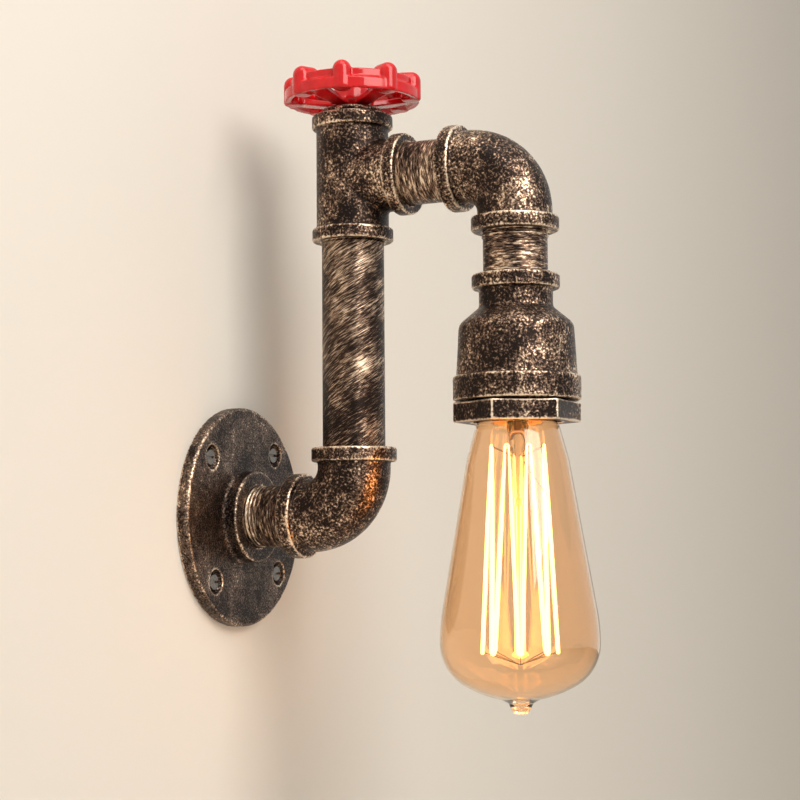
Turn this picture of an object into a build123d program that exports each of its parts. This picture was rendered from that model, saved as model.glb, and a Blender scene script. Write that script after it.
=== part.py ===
"""Industrial pipe wall light, built from threaded pipe fittings.

A round floor flange screws to the wall. Short nipples, two elbows, a riser and a tee
carry a bell-shaped cup that holds an E27 lampholder and a teardrop filament bulb.
A red valve handwheel turns freely on a spindle on top of the tee.

Frame: the origin is the centre of the flange's back face, the wall is the plane Y = 0,
the light reaches out towards -Y and +Z is up. All sizes are in millimetres.
"""
import os
from math import cos, degrees, pi, radians, sin

from build123d import *

# ---------------------------------------------------------------- driving dimensions
# Pipe, 3/4 inch
PIPE_D = 26.7
PIPE_BORE_D = 20.9
THREAD_REACH = 12.0          # a pipe end goes this far into a fitting
THREAD_GAP = 0.05            # radial gap between a pipe end and its fitting
PIPE_CHAMFER = 0.8

# Visible stretches of pipe between the fittings
FLANGE_NIPPLE_SHOW = 17.9
RISER_SHOW = 88.1
BRANCH_NIPPLE_SHOW = 19.1
DROP_NIPPLE_SHOW = 17.8

# Elbows and tee
FITTING_BODY_D = 31.2
FITTING_BORE_D = 21.5
BEND_R = 20.3                # centre line of an elbow
ELBOW_REACH = 28.8           # corner to end face
ELBOW_BAND_D = 36.5
ELBOW_BAND_L = 6.2
TEE_REACH = 27.4
TEE_BAND_D = 34.9
TEE_BAND_L = 5.8
TEE_BRANCH_D = 30.8          # a little under the run, so the crease is one smooth curve
TEE_BRANCH_BORE_D = 21.2
BAND_ROUND = 0.9
CREASE_ROUND = 1.6           # where the tee's branch meets its run

# Wall flange
FLANGE_D = 95.5
FLANGE_T = 5.6
FLANGE_BEVEL = 0.9
HUB_D = 39.6
HUB_FACE = 12.0              # wall to the hub's front
HUB_BASE_ROUND = 1.5
HUB_EDGE_ROUND = 0.8
BACK_RECESS_D = 37.0
BACK_RECESS_T = 4.0
RECESS_LIP = 0.5             # recess floor to the end of the nipple
HOLE_CIRCLE_D = 75.0
HOLE_COUNT = 4
HOLE_TURN = 48.0             # first hole, degrees from +X; the flange sits 3 degrees off square
HOLE_D = 4.8
HOLE_MOUTH_D = 10.4
HOLE_MOUTH_T = 1.2
SCREW_HEAD_D = 8.0
SCREW_SHANK_D = 4.0
SCREW_NECK_D = 3.5           # plain neck inside the flange, as under a rolled thread
SCREW_BEHIND = 9.4           # thread that stands out of the flange's back
SCREW_SUNK = 1.0             # head top under the flange's face
SCREW_POINT = 0.5            # chamfer at the screw's end
SCREW_DOME = 0.8             # share of the head's width that stays flat
SCREW_SEAT_GAP = 0.05
SCREW_SLOT_W = 1.1
SCREW_SLOT_T = 1.3
OVERCUT = 1.0                # cutting tools run this far past the faces that they cut

# Earth terminal in the flange's back recess
EARTH_SCREW_D = 3.0
EARTH_SCREW_L = 3.4
EARTH_HEAD_D = 5.4
EARTH_HEAD_T = 1.5
EARTH_WASHER_D = 6.0
EARTH_WASHER_T = 0.6
EARTH_CIRCLE_D = 30.0
SLOT_W = 0.8                 # driver slots of the small terminal screws

# Tee plug and the wheel's spindle
PLUG_STAND = 2.9             # plug's top above the tee
PLUG_PLATE_T = 6.0
SPINDLE_D = 8.0
SPINDLE_COLLAR_D = 12.0
SPINDLE_COLLAR_T = 0.5
SPINDLE_TAIL_D = 6.0
SPINDLE_TAIL_L = 7.4
WHEEL_RUN_GAP = 0.08         # radial running gap in the wheel's hub
WHEEL_END_GAP = 0.15         # end play under and over the hub
WASHER_D = 15.0
WASHER_T = 1.2
NUT_FLATS = 10.0
NUT_T = 5.0
NUT_CHAMFER = 0.7
TAIL_CHAMFER = 0.6

# Handwheel
WHEEL_D = 60.0               # over the fingers
RIM_D = 58.0
RIM_TOP_D = 53.0             # the set-back upper part
RIM_BORE_D = 45.0
RIM_FOOT = 3.2               # rim's bottom above the plug
RIM_BAND_T = 4.6
RIM_COVE_T = 1.1
RIM_T = 9.1
RIM_FOOT_RISE = 0.6          # the rim's underside climbs this far towards its bore
RIM_TOP_LEAN = 0.8           # the bore widens this much to the top
RIM_ROUND = 0.9
HUB_BOSS_D = 18.2            # at its widest
HUB_BOSS_T = 8.4
BOSS_SWELL = 1.4             # ends are this much smaller in radius
BOSS_SWELL_RISE = 3.0        # widest place above the foot
WEB_T = 2.8
WEB_LIFT = 0.3               # underside above the boss's foot
WEB_RISE = 2.7               # underside, from the boss up to the rim
WEB_ROOT = 1.5               # the web runs this far into the boss and the rim
SPOKE_COUNT = 5
SPOKE_TURN = 25.5            # degrees from +X at rest
SPOKE_W = 8.5
WINDOW_ROUND = 2.4
WINDOW_TO_BOSS = 1.8
WINDOW_TO_RIM = 0.4
ROUND_SHARE = 0.8            # a fillet takes up to this share of its wall
FINGER_COUNT = 8
FINGER_TURN = 18.0
FINGER_W = 7.7
FINGER_L = 10.6
FINGER_LIFT = 3.4            # finger's top above the rim
FINGER_FOOT = 0.9            # outer post's foot above the rim's bottom
FINGER_RIDGE_T = 7.6
FINGER_ROUND = 3.3
POST_INSET = 1.0             # post's flat back inside the rim

# Bell cup
CUP_BAND_D = 36.4
CUP_BAND_L = 6.2
CUP_NECK_D = 30.6
CUP_NECK_END = 13.6          # depths are measured down from the cup's top
CUP_SHOULDER_D = 47.4
CUP_SHOULDER_END = 20.6
CUP_BODY_D = 49.8
CUP_MOUTH_BAND_D = 52.7
CUP_MOUTH_BAND_L = 10.3
CUP_H = 52.1
CUP_NECK_ROUND = 2.2
CUP_SHOULDER_ROUND = 5.0
CUP_CHAMBER_D = 38.6
CUP_CHAMBER_TOP = 22.5
CUP_CONE_TOP = 15.4
CUP_STEP = 37.5              # ledge that the lampholder is clamped against

# Hex bushing
HEX_PAST_CUP = 0.42          # over its corners, the hexagon is this much wider than the cup's mouth band
HEX_T = 8.4
HEX_GAP = 0.5                # between the cup's mouth and the hexagon
HEX_CHAMFER = 0.6
SPIGOT_D = 41.8
SPIGOT_L = 12.0
BUSHING_BORE_D = 37.0

# Ceramic lampholder, E27
CLAMP_GAP = 0.05
HOLDER_FLANGE_D = 41.2
HOLDER_FLANGE_T = 2.9
HOLDER_SKIRT_D = 36.4
HOLDER_SKIRT_L = 10.9
HOLDER_HEAD_D = 37.8
HOLDER_HEAD_T = 14.0
HOLDER_FLOOR_T = 3.2
HOLDER_ROUND = 1.0
SHELL_BORE_D = 26.9
SHELL_T = 0.6
SHELL_MOUTH = 1.0            # shell's end above the skirt's end
SHELL_TAB_W = 6.0
SHELL_TAB_L = 4.6
SOCKET_GAP = 0.05            # shell in its ceramic pocket

# Contacts and terminals
STRIP_T = 0.6
STRIP_W = 5.0
TONGUE_TURN_X = 4.0
TONGUE_END_X = -2.6
CONTACT_GAP = 0.3            # tongue to the bulb's tip at rest
RIVET_D = 2.0
RIVET_X = 10.8
RIVET_HEAD_D = 3.24
RIVET_HEAD_T = 0.4
RIVET_MARGIN = 0.6           # brass beyond each rivet
BLOCK_L = 6.0
BLOCK_W = 6.0
BLOCK_T = 5.4
BLOCK_FOOT_T = 1.0
WIRE_X = 5.2
WIRE_D = 2.4
WIRE_HOLE_D = 2.8
WIRE_HOLE_FLOOR = 1.0
WIRE_END_GAP = 0.2           # wire's end above its hole's floor
WIRE_TAIL = 0.6              # wires end this far inside the wall face
CLAMP_SCREW_D = 2.5
CLAMP_HOLE_LAP = 0.1         # screw hole runs this far into the wire hole
CLAMP_SCREW_RISE = 3.5       # screw's axis above the ceramic
CLAMP_HEAD_D = 3.6
CLAMP_HEAD_T = 1.2
CLAMP_SCREW_L = 1.5
TEE_WIRE_R = 12.0

# Bulb
CAP_TIP = 4.1                # tip's highest point under the lampholder's floor
TIP_D = 9.6
TIP_T = 1.8
TIP_WALL_T = 0.7             # straight side of the solder, under its dome
TIP_FLAT_D = 5.8
TIP_DOME = 0.2               # rise of the flat
INSULATOR_T = 3.8
INSULATOR_TOP_D = 12.0
INSULATOR_INSET = 1.2        # foot's edge inside the cap's side
CAP_D = 26.1
CAP_T = 0.45
CAP_L = 20.3
CAP_RIM_D = 27.6
CAP_RIM_T = 1.3
CAP_RIM_EDGE = 0.65          # straight edge of the flared rim
CAP_LEDGE = 1.6              # ledge at the top that holds the insulator
CAP_ROUND = 0.36
GLASS_T = 0.9
GLASS_NECK_D = 24.8
GLASS_NECK_L = 8.5           # neck held inside the cap
GLASS_NECK_DROP = 0.6        # depths are measured down from the cap's rim
GLASS_NECK_ROUND = 2.0
GLASS_SHOULDER_D = 34.0
GLASS_SHOULDER_DROP = 5.0
GLASS_SHOULDER_ROUND = 4.0
GLASS_SHOULDER_SAG = 0.54    # the wall's inside corner is this much lower than its outside one
GLASS_CONE_D = 41.8
GLASS_CONE_DROP = 19.1
GLASS_CONE_ROUND = 50.0
GLASS_BELLY_D = 65.2
GLASS_BELLY_DROP = 93.5
GLASS_SIDE_R = 80.0
GLASS_SIDE_SLOPE = 9.4       # degrees off vertical
GLASS_CORNER_R = 20.0
GLASS_CROWN_DROP = 23.5      # widest place to the crown
NIB_L = 5.0                  # sealed exhaust tip under the crown
NIB_POINT_D = 2.0
NIB_POINT_T = 0.3
NIB_WAIST_D = 3.6
NIB_WAIST_L = 2.25           # waist above the point
NIB_ROOT_D = 10.2
NIB_ROOT_RISE = 0.6          # root melted into the crown
STEM_FLARE_D = 22.6
STEM_FLARE_T = 1.2
STEM_FLARE_RISE = 1.0        # flare's top above the cap's rim
STEM_THROAT_D = 10.0
STEM_THROAT_DROP = 3.0
STEM_TUBE_D = 8.0
STEM_TUBE_DROP = 9.0
STEM_PINCH_D = 5.8
STEM_PINCH_DROP = 15.0
STEM_PINCH_L = 3.0           # pinch tapers to the rod
STEM_ROD_D = 4.6
STEM_BUTTON_D = 7.0
STEM_BUTTON_T = 3.0
STEM_MID_DROP = 36.5         # middle button
STEM_POINT_D = 2.8
STEM_OFF_CROWN = 17.0        # stem's end above the crown
CAGE_TOP_D = 23.0
CAGE_TOP_DROP = 13.5
CAGE_BOTTOM_D = 30.6
CAGE_BOTTOM_RISE = 2.5       # lower turns above the stem's end
CAGE_HOOKS = 8
CAGE_SEAM = 0.18             # filament's ends stop this share of a step from the seam
FILAMENT_D = 0.5
FILAMENT_TURN_R = 0.75
FILAMENT_TURN_HALF = 0.79    # half width of a turn
SUPPORT_D = 0.5
HOOK_GAP = 0.37              # support's end to the filament's turn
LEAD_D = 0.8
LEAD_ROOT_GAP = 0.6          # lead's axis off the stem's pinch
LEAD_ROOT_RISE = 2.0         # lead's start above the pinch
LEAD_END_GAP = 0.45          # lead's end to the filament's end

# ---------------------------------------------------------------- places worked out from them
LOW_ELBOW_END_Y = -(HUB_FACE + FLANGE_NIPPLE_SHOW)
RISER_Y = LOW_ELBOW_END_Y - ELBOW_REACH
TEE_Z = ELBOW_REACH + RISER_SHOW + TEE_REACH
TEE_TOP_Z = TEE_Z + TEE_REACH
LAMP_Y = RISER_Y - TEE_REACH - BRANCH_NIPPLE_SHOW - ELBOW_REACH
CUP_TOP_Z = TEE_Z - ELBOW_REACH - DROP_NIPPLE_SHOW
CUP_MOUTH_Z = CUP_TOP_Z - CUP_H
HEX_CORNERS = CUP_MOUTH_BAND_D + HEX_PAST_CUP
HEX_TOP_Z = CUP_MOUTH_Z - HEX_GAP
HEX_FOOT_Z = HEX_TOP_Z - HEX_T
SPIGOT_TOP_Z = HEX_TOP_Z + SPIGOT_L
PLUG_TOP_Z = TEE_TOP_Z + PLUG_STAND
HUB_Z = PLUG_TOP_Z + SPINDLE_COLLAR_T + WHEEL_END_GAP
HUB_TOP_Z = HUB_Z + HUB_BOSS_T
WASHER_Z = HUB_TOP_Z + WHEEL_END_GAP
NUT_Z = WASHER_Z + WASHER_T
RIM_Z = PLUG_TOP_Z + RIM_FOOT
HOLDER_FLANGE_Z = SPIGOT_TOP_Z + CLAMP_GAP
HOLDER_TOP_Z = HOLDER_FLANGE_Z + HOLDER_FLANGE_T + HOLDER_HEAD_T
HOLDER_FLOOR_Z = HOLDER_TOP_Z - HOLDER_FLOOR_T
HOLDER_FOOT_Z = HOLDER_FLANGE_Z - HOLDER_SKIRT_L
TIP_Z = HOLDER_FLOOR_Z - CAP_TIP
CAP_TOP_Z = TIP_Z - TIP_T - INSULATOR_T
CAP_RIM_Z = CAP_TOP_Z - CAP_L
GLASS_DROP = GLASS_BELLY_DROP + GLASS_CROWN_DROP
CROWN_Z = CAP_RIM_Z - GLASS_DROP
STEM_DROP = GLASS_DROP - STEM_OFF_CROWN
CAGE_BOTTOM_DROP = STEM_DROP - CAGE_BOTTOM_RISE

UP = (0, 0, 1)
DOWN = (0, 0, -1)
OUT = (0, -1, 0)             # away from the wall
IN = (0, 1, 0)
STANDING = (Align.CENTER, Align.CENTER, Align.MIN)
WALL_FRAME = Plane(origin=(0, 0, 0), x_dir=(1, 0, 0), z_dir=OUT)
RISER_AXIS = Pos(0, RISER_Y, 0)
LAMP_AXIS = Pos(0, LAMP_Y, 0)


# ---------------------------------------------------------------- shared shapes
def rod(start, toward, length, diameter):
    """Round bar from a point along a direction."""
    return Plane(origin=start, z_dir=toward) * Cylinder(diameter / 2, length, align=STANDING)


def tube(start, toward, length, outer, inner):
    """Open tube from a point along a direction."""
    return rod(start, toward, length, outer) - rod(start, toward, length, inner)


def turned(outline, rounds=()):
    """Solid turned about local Z from (radius, height) points; rounds are (point, radius)."""
    face = make_face(Polyline([(r, 0, z) for r, z in outline], close=True)).face()
    for (r, z), radius in rounds:
        corner = face.vertices().sort_by_distance((r, 0, z))[0]
        face = face.fillet_2d(radius, [corner])
    return revolve(face, Axis.Z)


def around(shape, count, turn=0.0):
    """Copies of a shape spaced evenly about local Z."""
    return [Rot(0, 0, turn + 360 * i / count) * shape for i in range(count)]


def pipe(start, toward, length):
    """Length of pipe with chamfered ends."""
    bar = rod(start, toward, length, PIPE_D)
    ends = bar.edges().filter_by(GeomType.CIRCLE)
    return chamfer(ends, PIPE_CHAMFER) - rod(start, toward, length, PIPE_BORE_D)


def band(end, inward, length, diameter):
    """Rounded reinforcing band at the end of a fitting."""
    ring = rod(end, inward, length, diameter)
    return fillet(ring.edges().filter_by(GeomType.CIRCLE), BAND_ROUND)


def mouth(end, inward):
    """Tool that cuts the threaded mouth of a fitting."""
    return rod(end, inward, THREAD_REACH, PIPE_D + 2 * THREAD_GAP)


# ---------------------------------------------------------------- flange and pipework
def wall_flange():
    """Cast disc with a hub, a back recess and four countersunk screw holes."""
    rim_r = FLANGE_D / 2
    hub_r = HUB_D / 2
    bore_r = PIPE_D / 2 + THREAD_GAP
    seat = BACK_RECESS_T + RECESS_LIP
    outline = [
        (PIPE_BORE_D / 2, BACK_RECESS_T), (BACK_RECESS_D / 2, BACK_RECESS_T), (BACK_RECESS_D / 2, 0),
        (rim_r, 0), (rim_r, FLANGE_T - FLANGE_BEVEL), (rim_r - FLANGE_BEVEL, FLANGE_T),
        (hub_r, FLANGE_T), (hub_r, HUB_FACE), (bore_r, HUB_FACE), (bore_r, seat), (PIPE_BORE_D / 2, seat)]
    rounds = [((hub_r, FLANGE_T), HUB_BASE_ROUND), ((hub_r, HUB_FACE), HUB_EDGE_ROUND)]
    body = turned(outline, rounds)
    over = FLANGE_T + OVERCUT
    hole = turned([
        (0, -OVERCUT), (HOLE_D / 2, -OVERCUT), (HOLE_D / 2, screw_seat()),
        (HOLE_MOUTH_D / 2, countersink_top()), (HOLE_MOUTH_D / 2, over), (0, over)])
    body -= around(Pos(HOLE_CIRCLE_D / 2, 0, 0) * hole, HOLE_COUNT, HOLE_TURN)
    body -= Rot(0, 0, -90) * Pos(EARTH_CIRCLE_D / 2, 0, BACK_RECESS_T) * Cylinder(
        EARTH_SCREW_D / 2 + THREAD_GAP, EARTH_SCREW_L - EARTH_WASHER_T + THREAD_GAP, align=STANDING)
    return WALL_FRAME * body


def countersink_top():
    """Height of the countersink's wide end above the wall."""
    return FLANGE_T - HOLE_MOUTH_T


def screw_seat():
    """Height of the countersink's narrow end above the wall (a 90 degree cone)."""
    return countersink_top() - (HOLE_MOUTH_D - HOLE_D) / 2


def mounting_screws():
    """Four slotted countersunk screws: the thread starts at the flange's back, and every slot is level."""
    shank_r = SCREW_SHANK_D / 2
    neck_r = SCREW_NECK_D / 2
    head_r = SCREW_HEAD_D / 2
    head_top = FLANGE_T - SCREW_SUNK
    head_base = screw_seat() + (SCREW_HEAD_D - HOLE_D) / 2 + SCREW_SEAT_GAP
    outline = [
        (0, -SCREW_BEHIND), (shank_r - SCREW_POINT, -SCREW_BEHIND),
        (shank_r, -SCREW_BEHIND + SCREW_POINT), (shank_r, 0), (neck_r, 0),
        (neck_r, head_base - (head_r - neck_r)), (head_r, head_base), (head_r * SCREW_DOME, head_top),
        (0, head_top)]
    slot = Pos(0, 0, head_top - SCREW_SLOT_T) * Box(SCREW_HEAD_D, SCREW_SLOT_W, 2 * SCREW_SLOT_T,
                                                    align=STANDING)
    screw = turned(outline) - slot
    screws = []
    for i in range(HOLE_COUNT):
        turn = HOLE_TURN + 360 * i / HOLE_COUNT
        place = Rot(0, 0, turn) * Pos(HOLE_CIRCLE_D / 2, 0, 0) * Rot(0, 0, -turn)
        screws.append(WALL_FRAME * place * screw)
    return Compound(screws)


def earth_place():
    """Frame of the earth terminal, looking out of the recess floor towards the wall."""
    return Plane(origin=(0, -BACK_RECESS_T, -EARTH_CIRCLE_D / 2), z_dir=IN)


def earth_screw():
    """Slotted earth screw in the recess floor."""
    head = Pos(0, 0, EARTH_WASHER_T) * Cylinder(EARTH_HEAD_D / 2, EARTH_HEAD_T, align=STANDING)
    shank = Pos(0, 0, EARTH_WASHER_T - EARTH_SCREW_L) * Cylinder(
        EARTH_SCREW_D / 2, EARTH_SCREW_L, align=STANDING)
    slot = Pos(0, 0, EARTH_WASHER_T + EARTH_HEAD_T / 2) * Box(
        EARTH_HEAD_D, SLOT_W, EARTH_HEAD_T, align=STANDING)
    return earth_place() * (head + shank - slot)


def earth_washer():
    """Plain washer under the earth screw's head."""
    ring = Cylinder(EARTH_WASHER_D / 2, EARTH_WASHER_T, align=STANDING)
    bore = Cylinder(EARTH_SCREW_D / 2 + THREAD_GAP, EARTH_WASHER_T, align=STANDING)
    return earth_place() * (ring - bore)


def elbow():
    """Elbow with its corner at the origin and its ends facing +Y and +Z."""
    ends = [((0, ELBOW_REACH, 0), OUT), ((0, 0, ELBOW_REACH), DOWN)]
    path = FilletPolyline(ends[0][0], (0, 0, 0), ends[1][0], radius=BEND_R)

    def bent_bar(diameter):
        section = Plane(origin=ends[0][0], z_dir=OUT) * Circle(diameter / 2)
        return sweep(section, path=path)

    body = bent_bar(FITTING_BODY_D)
    for end, inward in ends:
        body += band(end, inward, ELBOW_BAND_L, ELBOW_BAND_D)
    body -= bent_bar(FITTING_BORE_D)
    for end, inward in ends:
        body -= mouth(end, inward)
    return body


def tee():
    """Tee with its run upright and its branch towards -Y."""
    centre = Vector(0, RISER_Y, TEE_Z)
    ends = [(centre + Vector(0, 0, TEE_REACH), DOWN), (centre - Vector(0, 0, TEE_REACH), UP),
            (centre - Vector(0, TEE_REACH, 0), IN)]
    run = rod(centre - Vector(0, 0, TEE_REACH), UP, 2 * TEE_REACH, FITTING_BODY_D)
    body = run + rod(centre, OUT, TEE_REACH, TEE_BRANCH_D)
    crease = [e for e in body.edges() if e.geom_type not in (GeomType.CIRCLE, GeomType.LINE)]
    body = fillet(crease, CREASE_ROUND)
    for end, inward in ends:
        body += band(end, inward, TEE_BAND_L, TEE_BAND_D)
    run_bore = rod(centre - Vector(0, 0, TEE_REACH), UP, 2 * TEE_REACH, FITTING_BORE_D)
    body -= run_bore + rod(centre, OUT, TEE_REACH, TEE_BRANCH_BORE_D)
    for end, inward in ends:
        body -= mouth(end, inward)
    return body


def tee_plug():
    """Round plug in the tee's top, with a thick top plate for the spindle."""
    depth = PLUG_STAND + THREAD_REACH
    bar = rod((0, RISER_Y, PLUG_TOP_Z - depth), UP, depth, PIPE_D)
    bar = chamfer(bar.edges().filter_by(GeomType.CIRCLE), PIPE_CHAMFER)
    bar -= rod((0, RISER_Y, PLUG_TOP_Z - depth), UP, depth - PLUG_PLATE_T, PIPE_BORE_D)
    return bar - rod((0, RISER_Y, PLUG_TOP_Z - PLUG_PLATE_T), UP, PLUG_PLATE_T,
                     SPINDLE_D + 2 * THREAD_GAP)


# ---------------------------------------------------------------- handwheel on its spindle
def wheel_stem():
    """Spindle: threaded foot, collar, plain journal and a thinner threaded tail."""
    r_tail = SPINDLE_TAIL_D / 2
    tail_top = WASHER_Z + SPINDLE_TAIL_L
    outline = [
        (0, PLUG_TOP_Z - PLUG_PLATE_T), (SPINDLE_D / 2, PLUG_TOP_Z - PLUG_PLATE_T),
        (SPINDLE_D / 2, PLUG_TOP_Z), (SPINDLE_COLLAR_D / 2, PLUG_TOP_Z),
        (SPINDLE_COLLAR_D / 2, PLUG_TOP_Z + SPINDLE_COLLAR_T),
        (SPINDLE_D / 2, PLUG_TOP_Z + SPINDLE_COLLAR_T), (SPINDLE_D / 2, WASHER_Z),
        (r_tail, WASHER_Z), (r_tail, tail_top - TAIL_CHAMFER), (r_tail - TAIL_CHAMFER, tail_top),
        (0, tail_top)]
    return RISER_AXIS * turned(outline)


def wheel_washer():
    """Washer that keeps the wheel on its journal."""
    return tube((0, RISER_Y, WASHER_Z), UP, WASHER_T, WASHER_D, SPINDLE_TAIL_D + 2 * THREAD_GAP)


def wheel_nut():
    """Hexagonal nut with chamfered corners."""
    prism = extrude(RegularPolygon(NUT_FLATS / 2, 6, major_radius=False), NUT_T)
    corner_r = NUT_FLATS / cos(pi / 6) / 2
    cap = turned([(0, 0), (corner_r, 0), (corner_r, NUT_T - NUT_CHAMFER),
                  (corner_r - 2 * NUT_CHAMFER, NUT_T), (0, NUT_T)])
    bore = Cylinder(SPINDLE_TAIL_D / 2 + THREAD_GAP, NUT_T, align=STANDING)
    return Pos(0, RISER_Y, NUT_Z) * ((prism & cap) - bore)


def wheel_window(foot, top):
    """Opening between two spokes of the dished web."""
    inner = HUB_BOSS_D / 2 + WINDOW_TO_BOSS
    outer = RIM_BORE_D / 2 - WINDOW_TO_RIM
    half_step = radians(180 / SPOKE_COUNT)
    inner_half = half_step - (SPOKE_W / 2) / inner
    outer_half = half_step - (SPOKE_W / 2) / outer
    ring = CenterArc((0, 0, 0), outer, -degrees(outer_half), 2 * degrees(outer_half))
    core = CenterArc((0, 0, 0), inner, -degrees(inner_half), 2 * degrees(inner_half))
    sides = [Line(core @ 0, ring @ 0), Line(core @ 1, ring @ 1)]
    face = make_face([ring, core] + sides).face()
    face = face.fillet_2d(min(WINDOW_ROUND, inner * inner_half * ROUND_SHARE), face.vertices())
    return Pos(0, 0, foot) * extrude(Rot(0, 0, degrees(half_step)) * face, top - foot)


def finger(rim_top):
    """Rounded finger on the rim: a radial ridge whose outer end reaches down as a half-round post."""
    foot = RIM_Z + FINGER_FOOT
    top = rim_top + FINGER_LIFT
    ridge_z = top - FINGER_RIDGE_T
    plan = Pos(WHEEL_D / 2 - FINGER_L / 2, 0, foot) * SlotOverall(FINGER_L, FINGER_W)
    body = extrude(plan, top - foot)
    body = fillet(body.faces().sort_by(Axis.Z)[-1].edges(), FINGER_ROUND)
    under_foot = foot - OVERCUT
    reach = RIM_BORE_D + 2 * POST_INSET
    under_ridge = Pos(0, 0, under_foot) * Box(reach, 2 * FINGER_W, ridge_z - under_foot, align=STANDING)
    return body - under_ridge


def handwheel():
    """Cast valve wheel: boss, dished web with windows, stepped rim and eight fingers."""
    boss_r = HUB_BOSS_D / 2
    boss_end_r = boss_r - BOSS_SWELL
    rim_top = RIM_Z + RIM_T
    cove_z = RIM_Z + RIM_BAND_T + RIM_COVE_T
    bore_top = (RIM_BORE_D / 2 + RIM_TOP_LEAN, rim_top)
    rim = turned([
        (RIM_BORE_D / 2, RIM_Z + RIM_FOOT_RISE), (RIM_D / 2, RIM_Z), (RIM_D / 2, RIM_Z + RIM_BAND_T),
        (RIM_TOP_D / 2, cove_z), (RIM_TOP_D / 2, rim_top), bore_top],
        [((RIM_D / 2, RIM_Z), RIM_ROUND), ((RIM_D / 2, RIM_Z + RIM_BAND_T), RIM_ROUND),
         ((RIM_TOP_D / 2, cove_z), RIM_ROUND), ((RIM_TOP_D / 2, rim_top), RIM_ROUND),
         (bore_top, RIM_ROUND)])
    inner_r = boss_end_r - WEB_ROOT
    outer_r = RIM_BORE_D / 2 + WEB_ROOT
    web_z = HUB_Z + WEB_LIFT
    web = turned([(inner_r, web_z), (outer_r, web_z + WEB_RISE), (outer_r, web_z + WEB_RISE + WEB_T),
                  (inner_r, web_z + WEB_T)])
    web -= around(wheel_window(HUB_Z - OVERCUT, rim_top), SPOKE_COUNT, SPOKE_TURN)
    boss = turned([(0, HUB_Z), (boss_end_r, HUB_Z), (boss_r, HUB_Z + BOSS_SWELL_RISE),
                   (boss_end_r, HUB_TOP_Z), (0, HUB_TOP_Z)])
    wheel = rim + web + boss
    for one in around(finger(rim_top), FINGER_COUNT, FINGER_TURN):
        wheel += one
    bore = Pos(0, 0, HUB_Z - OVERCUT) * Cylinder(
        SPINDLE_D / 2 + WHEEL_RUN_GAP, HUB_BOSS_T + 2 * OVERCUT, align=STANDING)
    return RISER_AXIS * (wheel - bore)


# ---------------------------------------------------------------- cup, bushing, lampholder
def socket_cup():
    """Bell reducer: banded neck, rounded shoulder, slightly flared body, mouth band."""
    def at(diameter, depth):
        return (diameter / 2, CUP_TOP_Z - depth)

    bore_d = PIPE_D + 2 * THREAD_GAP
    lower_d = SPIGOT_D + 2 * THREAD_GAP
    band_top = CUP_H - CUP_MOUTH_BAND_L
    outline = [
        at(bore_d, 0), at(CUP_BAND_D, 0), at(CUP_BAND_D, CUP_BAND_L), at(CUP_NECK_D, CUP_BAND_L),
        at(CUP_NECK_D, CUP_NECK_END), at(CUP_SHOULDER_D, CUP_SHOULDER_END), at(CUP_BODY_D, band_top),
        at(CUP_MOUTH_BAND_D, band_top), at(CUP_MOUTH_BAND_D, CUP_H), at(lower_d, CUP_H),
        at(lower_d, CUP_STEP), at(CUP_CHAMBER_D, CUP_STEP), at(CUP_CHAMBER_D, CUP_CHAMBER_TOP),
        at(PIPE_BORE_D, CUP_CONE_TOP), at(PIPE_BORE_D, THREAD_REACH), at(bore_d, THREAD_REACH)]
    rounds = [(at(CUP_BAND_D, 0), BAND_ROUND), (at(CUP_BAND_D, CUP_BAND_L), BAND_ROUND),
              (at(CUP_NECK_D, CUP_NECK_END), CUP_NECK_ROUND),
              (at(CUP_SHOULDER_D, CUP_SHOULDER_END), CUP_SHOULDER_ROUND),
              (at(CUP_MOUTH_BAND_D, band_top), BAND_ROUND), (at(CUP_MOUTH_BAND_D, CUP_H), BAND_ROUND)]
    return LAMP_AXIS * turned(outline, rounds)


def hex_bushing():
    """Bushing: a hexagon under the cup and a spigot screwed up into its mouth."""
    corner_r = HEX_CORNERS / 2
    edge = corner_r - HEX_CHAMFER
    prism = Pos(0, 0, HEX_FOOT_Z) * extrude(RegularPolygon(corner_r, 6), HEX_T)
    barrel = turned([(0, HEX_FOOT_Z), (edge, HEX_FOOT_Z), (corner_r, HEX_FOOT_Z + HEX_CHAMFER),
                     (corner_r, HEX_TOP_Z - HEX_CHAMFER), (edge, HEX_TOP_Z), (0, HEX_TOP_Z)])
    spigot = rod((0, 0, HEX_TOP_Z), UP, SPIGOT_L, SPIGOT_D)
    bore = rod((0, 0, HEX_FOOT_Z), UP, HEX_T + SPIGOT_L, BUSHING_BORE_D)
    return LAMP_AXIS * ((prism & barrel) + spigot - bore)


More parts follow.
